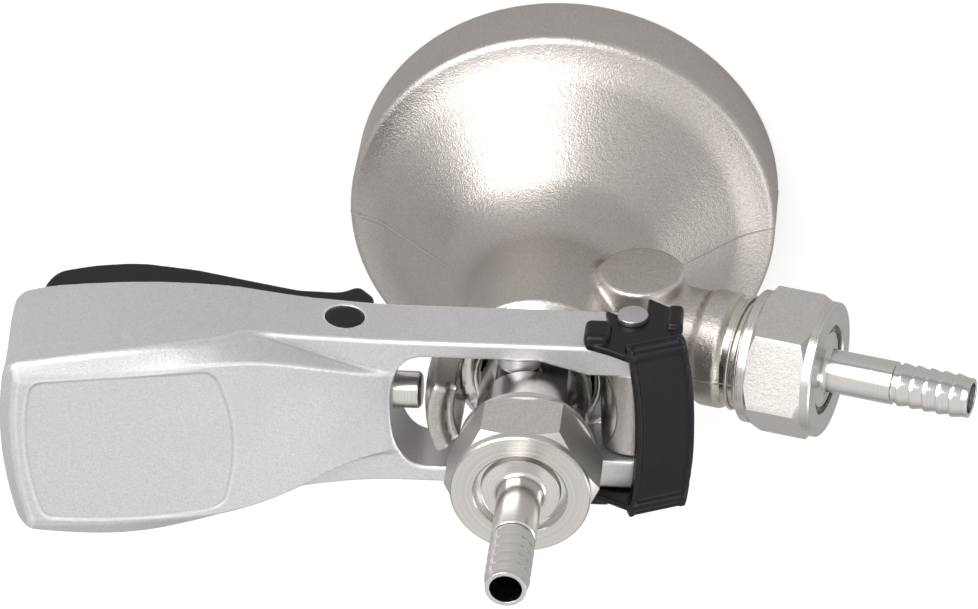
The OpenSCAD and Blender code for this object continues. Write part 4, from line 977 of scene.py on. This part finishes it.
def clipField(x, y, z):
    d = clip
    h = np.abs(y)
    r = d["reach"]
    tilt = math.radians(d["slope"])
    midX, midZ = hingeX + d["strapX"], leverZ + d["strapZ"]
    half = d["strapWidth"] / 2
    highZ, lowZ = midZ + half * math.sin(tilt), midZ - half * math.sin(tilt)
    shape = [(-0.58 * r, -0.30 * r), (-0.26 * r, -0.12 * r), (0.28 * r, -0.75 * r), (0.66 * r, -0.5 * r),
             (0.95 * r, -0.46 * r), (r, 0.25 * r), (0.82 * r, 0.46 * r),
             (d["strapX"] + half * math.cos(tilt), lowZ - leverZ),
             (d["strapX"] - half * math.cos(tilt), highZ - leverZ),
             (-0.4 * r, highZ - leverZ - 2), (-0.86 * r, 0.9 * r), (-0.9 * r, 0.25 * r), (-0.45 * r, 0.2 * r)]
    leg = plate(x - hingeX, z - leverZ, h, shape, d["inside"], d["inside"] + d["leg"], 0.35, 0.35)
    frontTab = block(x, h, z, (hingeX - 0.92 * r, d["inside"], leverZ + 0.25 * r),
                     (hingeX - 0.4 * r, d["half"], leverZ + 0.93 * r), 1.3)
    backTab = block(x, h, z, (hingeX + 0.68 * r, d["inside"], leverZ - 0.42 * r),
                    (hingeX + 0.99 * r, d["half"] - 0.6, leverZ + 0.3 * r), 0.9)
    leg = joined(leg, np.minimum(frontTab, backTab), 0.5)
    below = np.where(z < leverZ, np.abs(x - hingeX), 1e3)  # the slot is open downwards
    leg = without(leg, np.minimum(np.hypot(x - hingeX, z - leverZ), below) - d["slot"], 0.2)
    a = (x - midX) * math.cos(tilt) - (z - midZ) * math.sin(tilt) - d["bulge"] * (1 - (h / d["half"]) ** 2)
    o = (x - midX) * math.sin(tilt) + (z - midZ) * math.cos(tilt)
    crown = o + 0.35 * smooth((half - 0.9 - np.abs(a)) / 0.5)
    strap = shared(np.abs(a) - half, np.maximum(crown, -d["strapThick"] - o), 0.35)
    strap = shared(strap, h - d["half"], 0.8)
    return joined(leg, strap, 0.7)


def makePinAndClip():
    axes = [steps((9.5, 33, 0.42)), steps((-21.5, -16, 0.4), (-16, 16, 0.7), (16, 21.6, 0.4)),
            steps((67, 90.5, 0.42))]
    mesh = skin("pin_retaining_clip", clipField, axes)
    piece("pin_retaining_clip", mesh, "lever", finish["black"], ["pin_clip"])
    half = [(0, 0), (3, 0), (3, 17.08), (2.5, 17.08), (2.5, 18.72), (3, 18.72), (3, 19.9), (0, 19.9)]
    points = [(r, -h) for r, h in reversed(half[1:])] + half[2:]
    turn = Matrix.Translation((hingeX * mm, 0, leverZ * mm)) @ Matrix.Rotation(-math.pi / 2, 4, "X")
    mesh = turned("fork_hinge_pin", softened(points, 0.35), 96, turn)
    piece("fork_hinge_pin", mesh, "lever", finish["pin"], ["hinge_pin"])
    print("pin and clip ready")


# Nuts and barbed tails, drawn from the end face that they close with +Z along the tail

nut = {"flats": 26.0, "corner": 14.97, "frontCollar": 13.5, "backCollar": 13.3, "collar": 2.0, "trim": 1.1,
       "length": 15.5, "face": 5.76, "lip": 2.16, "hole": 8.9, "thread": 12.1, "gasTurn": 9.0}
tail = {"radius": 4.3, "bore": 3.05, "tip": 3.9, "flange": (10.4, 1.52, 3.58), "hub": 7.6, "hubTop": 5.22,
        "end": 34.76, "barbs": 5, "pitch": 2.7, "depth": 0.45}


def nutOutline(angle):
    d = nut
    sector = angle % (math.pi / 3) - math.pi / 6
    hexagon = min(d["flats"] / 2 / math.cos(sector), d["corner"])
    front, back = d["face"] - d["collar"], d["face"] - d["length"] + d["collar"]
    rise = d["trim"] / 1.5
    low = d["face"] - d["length"]
    b = 0.3
    return [
        (d["hole"], d["face"] - d["lip"]), (d["hole"], d["face"] - b), (d["hole"] + b, d["face"]),
        (d["frontCollar"] - b, d["face"]), (d["frontCollar"], d["face"] - b), (d["frontCollar"], front),
        (hexagon, front - rise * max(0, hexagon - d["frontCollar"])),
        (hexagon, back + rise * max(0, hexagon - d["backCollar"])),
        (d["backCollar"], back), (d["backCollar"], low + b), (d["backCollar"] - b, low),
        (d["thread"] + 2 * b, low), (d["thread"], low + 2 * b), (d["thread"], d["face"] - d["lip"])]


def tailOutline():
    d = tail
    flange, under, over = d["flange"]
    barbsLow = d["end"] - d["pitch"] * (d["barbs"] + 0.3)
    neck = d["radius"] - d["depth"]
    fillet = 1.1
    curve = [(d["radius"] + fillet * (1 - math.sin(a)), d["hubTop"] + fillet * (1 - math.cos(a)))
             for a in (0.0, 0.3, 0.6, 0.9, 1.2, math.pi / 2)]
    points = softened([(d["bore"], under), (flange, under), (flange, over), (d["hub"], over),
                       (d["hub"], d["hubTop"])], 0.3)
    ends = softened([(d["radius"], barbsLow - d["pitch"] / 2), (neck, barbsLow - d["pitch"] / 2 + 0.25),
                     (neck, d["end"] - d["pitch"]), (neck + 0.1, d["end"] - d["pitch"]),
                     (d["tip"], d["end"]), (d["bore"], d["end"])], 0.12)
    return points + curve + ends


def makeBarbs(name, place, material):  # Geometry Nodes set the barbs in a row
    d = tail
    inner, outer, p = d["radius"] - d["depth"] - 0.5, d["radius"], d["pitch"]
    ring = turned("barbRing", softened([(inner, 0.05), (outer - 0.08, 0), (outer, 0.1), (outer, 0.25 * p),
                                        (outer - d["depth"] - 0.03, p), (inner, p)], 0.1), 96)
    source = placed("barbRing", ring)
    mesh = grown(name, rowTree, {"Ring": source, "Count": d["barbs"], "Pitch": p * mm, "Material": material,
                                 "Start": (d["end"] - p * (d["barbs"] + 0.3)) * mm})
    bpy.data.objects.remove(source)
    crisp(mesh, 25)
    mesh.transform(place)
    return mesh


def makeHoseEnds():
    for side, place, body, turn in (("beer", beerPlace, "probe", 0),
                                    ("gas", gasPlace, "coupler", nut["gasTurn"])):
        spin = place @ Matrix.Rotation(math.radians(turn), 4, "Z")
        mesh = crisp(spun(side + "_hex_nut", nutOutline, 144, spin), 24)
        piece(side + "_hex_nut", mesh, body, finish[side], [side + "_nut"])
        stem = turned(side + "Stem", tailOutline(), 96, place)
        barbs = makeBarbs(side + "Barbs", place, finish[side + "Tail"])
        mesh = combined(side + "_hose_tail", [stem, barbs], 28)
        piece(side + "_hose_tail", mesh, body, finish[side + "Tail"], [side + "_tail"])
    print("nuts and hose tails ready")


# Probe, plunger and seals

probe = {"tip": 8.0, "bore": 4.0, "stem": 7.2, "barrel": 11.0, "barrelLow": 54.8, "head": 12.0,
         "headLow": 93.58, "chamber": 5.8, "chamberLow": 90.3, "ring": 1.65, "ringGap": 3.08,
         "grooveDeep": 1.9, "grooveHalf": 1.12, "slot": ((-7.3, 8.5, leverZ - 2.7), (8.0, 20, leverZ + 7.8))}
plunger = {"tip": 22.3, "radius": 3.65, "bevel": 0.6, "collar": 4.9, "collarStart": 33.22, "collarEnd": 35.02,
           "shank": 2.05, "end": 50.2}


def milled(name, mesh, boxes):  # the mesh less these boxes, given by their low and high corners
    work = bmesh.new()
    for corners in boxes:
        for point in bmesh.ops.create_cube(work, size=1)["verts"]:
            point.co = [corners[point.co[k] > 0][k] * mm for k in range(3)]
    cutter = placed("cutter", bpy.data.meshes.new("cutter"))
    work.to_mesh(cutter.data)
    work.free()
    holder = placed(name, mesh)
    modifier = holder.modifiers.new("slots", "BOOLEAN")
    modifier.operation, modifier.solver, modifier.object = "DIFFERENCE", "EXACT", cutter
    result = bpy.data.meshes.new_from_object(holder.evaluated_get(bpy.context.evaluated_depsgraph_get()))
    for thing in (cutter, holder):
        bpy.data.objects.remove(thing)
    result.name = name
    return crisp(result, 30)


def makeProbe():
    d = probe
    ringLow = d["barrelLow"] + d["ring"]
    outer, inner = d["barrel"], d["barrel"] - d["grooveDeep"]
    grooves = []
    for z in (ringLow, ringLow + d["ringGap"]):
        low, high = z - d["grooveHalf"], z + d["grooveHalf"]
        grooves += [(outer, low), (inner, low), (inner, high), (outer, high)]
    points = [(d["bore"], d["tip"]), (6.4, d["tip"]), (6.56, 14), (d["stem"], 14),
              (d["stem"], d["barrelLow"] - 3.8),
              (outer, d["barrelLow"]), *grooves, (outer, d["headLow"]), (d["head"] - 0.6, d["headLow"]),
              (d["head"] - 0.1, d["headLow"] + 0.8), (d["head"] - 0.1, headTop - 0.8),
              (d["head"] - 1, headTop),
              (d["chamber"], headTop), (d["chamber"], d["chamberLow"]), (d["bore"], d["chamberLow"] - 1.8)]
    low, high = d["slot"]  # the cam nubs of the fork ride in a slot at each side
    slots = [(low, high), ((low[0], -high[1], low[2]), (high[0], -low[1], high[2]))]
    mesh = milled("probe_stem", turned("probeBar", softened(points, 0.25), 128), slots)
    piece("probe_stem", mesh, "probe", finish["probe"], ["probe"])


def makePlunger():
    d = plunger
    points = [(0, d["tip"]), (d["radius"] - d["bevel"], d["tip"]), (d["radius"], d["tip"] + d["bevel"]),
              (d["radius"], d["collarStart"]), (d["collar"], d["collarStart"]), (d["collar"], d["collarEnd"]),
              (d["shank"], d["collarEnd"]), (d["shank"], d["end"] - 0.4), (d["shank"] - 0.4, d["end"]),
              (0, d["end"])]
    place = Matrix.Translation((0, 0, leverZ * mm)) @ Matrix.Rotation(-math.pi / 2, 4, "Y")
    mesh = turned("latch_plunger", softened(points, 0.2), 96, place)
    piece("latch_plunger", mesh, "plunger", finish["plunger"], ["plunger"])
    turn = Matrix.Translation((-0.0408 + 0.00037, 0, leverZ * mm)) @ Matrix.Rotation(math.pi / 2, 4, "Y")
    spring = wound("plunger_coil_spring", {
        "Turns": 4.0, "Coil Radius": 0.0032, "Length": 0.00502, "Wire Radius": 0.00035, "Sides": 10},
        finish["spring"], turn)
    made = piece("plunger_coil_spring", spring, "lever", finish["spring"], ["plunger_spring"])
    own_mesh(made)


def makeSeals():
    ring = [(12.5, 23.58), (12.5, 18.6), (12.9, 17.8), (13.9, 17.4), (15.8, 17.4), (16.8, 17.8), (17.2, 18.6),
            (17.2, 19.6), (16.7, 20.0), (17.2, 20.4), (17.2, 23.58)]
    piece("bell_sealing_ring", turned("bell_sealing_ring", softened(ring, 0.3), 128), "coupler",
          finish["rubber"], ["bell_seal"])
    lip = [(6.64, 8), (7.9, 8), (8.7, 8.35), (9.2, 9.3), (9.2, 10.6), (8.4, 11.4), (7.6, 12.4), (7.2, 13.98),
           (6.64, 13.98)]
    piece("probe_tip_seal", turned("probe_tip_seal", softened(lip, 0.3), 96), "probe",
          finish["rubber"], ["tip_seal"])
    for node, look in (("probe_ring_lower", "rubber"), ("probe_ring_upper", "rubber"), ("check_ball", "ball"),
                       ("ball_retainer", "seat"), ("beer_washer", "rubber"), ("gas_washer", "rubber"),
                       ("gas_valve", "rubber"), ("gas_valve_seat", "seat"), ("plunger_tab", "tab")):
        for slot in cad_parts[node].material_slots:
            slot.material = finish[look]
    print("probe, plunger and seals ready")


makeLever()
makeTrigger()
makePinAndClip()
makeHoseEnds()
makeProbe()
makePlunger()
makeSeals()
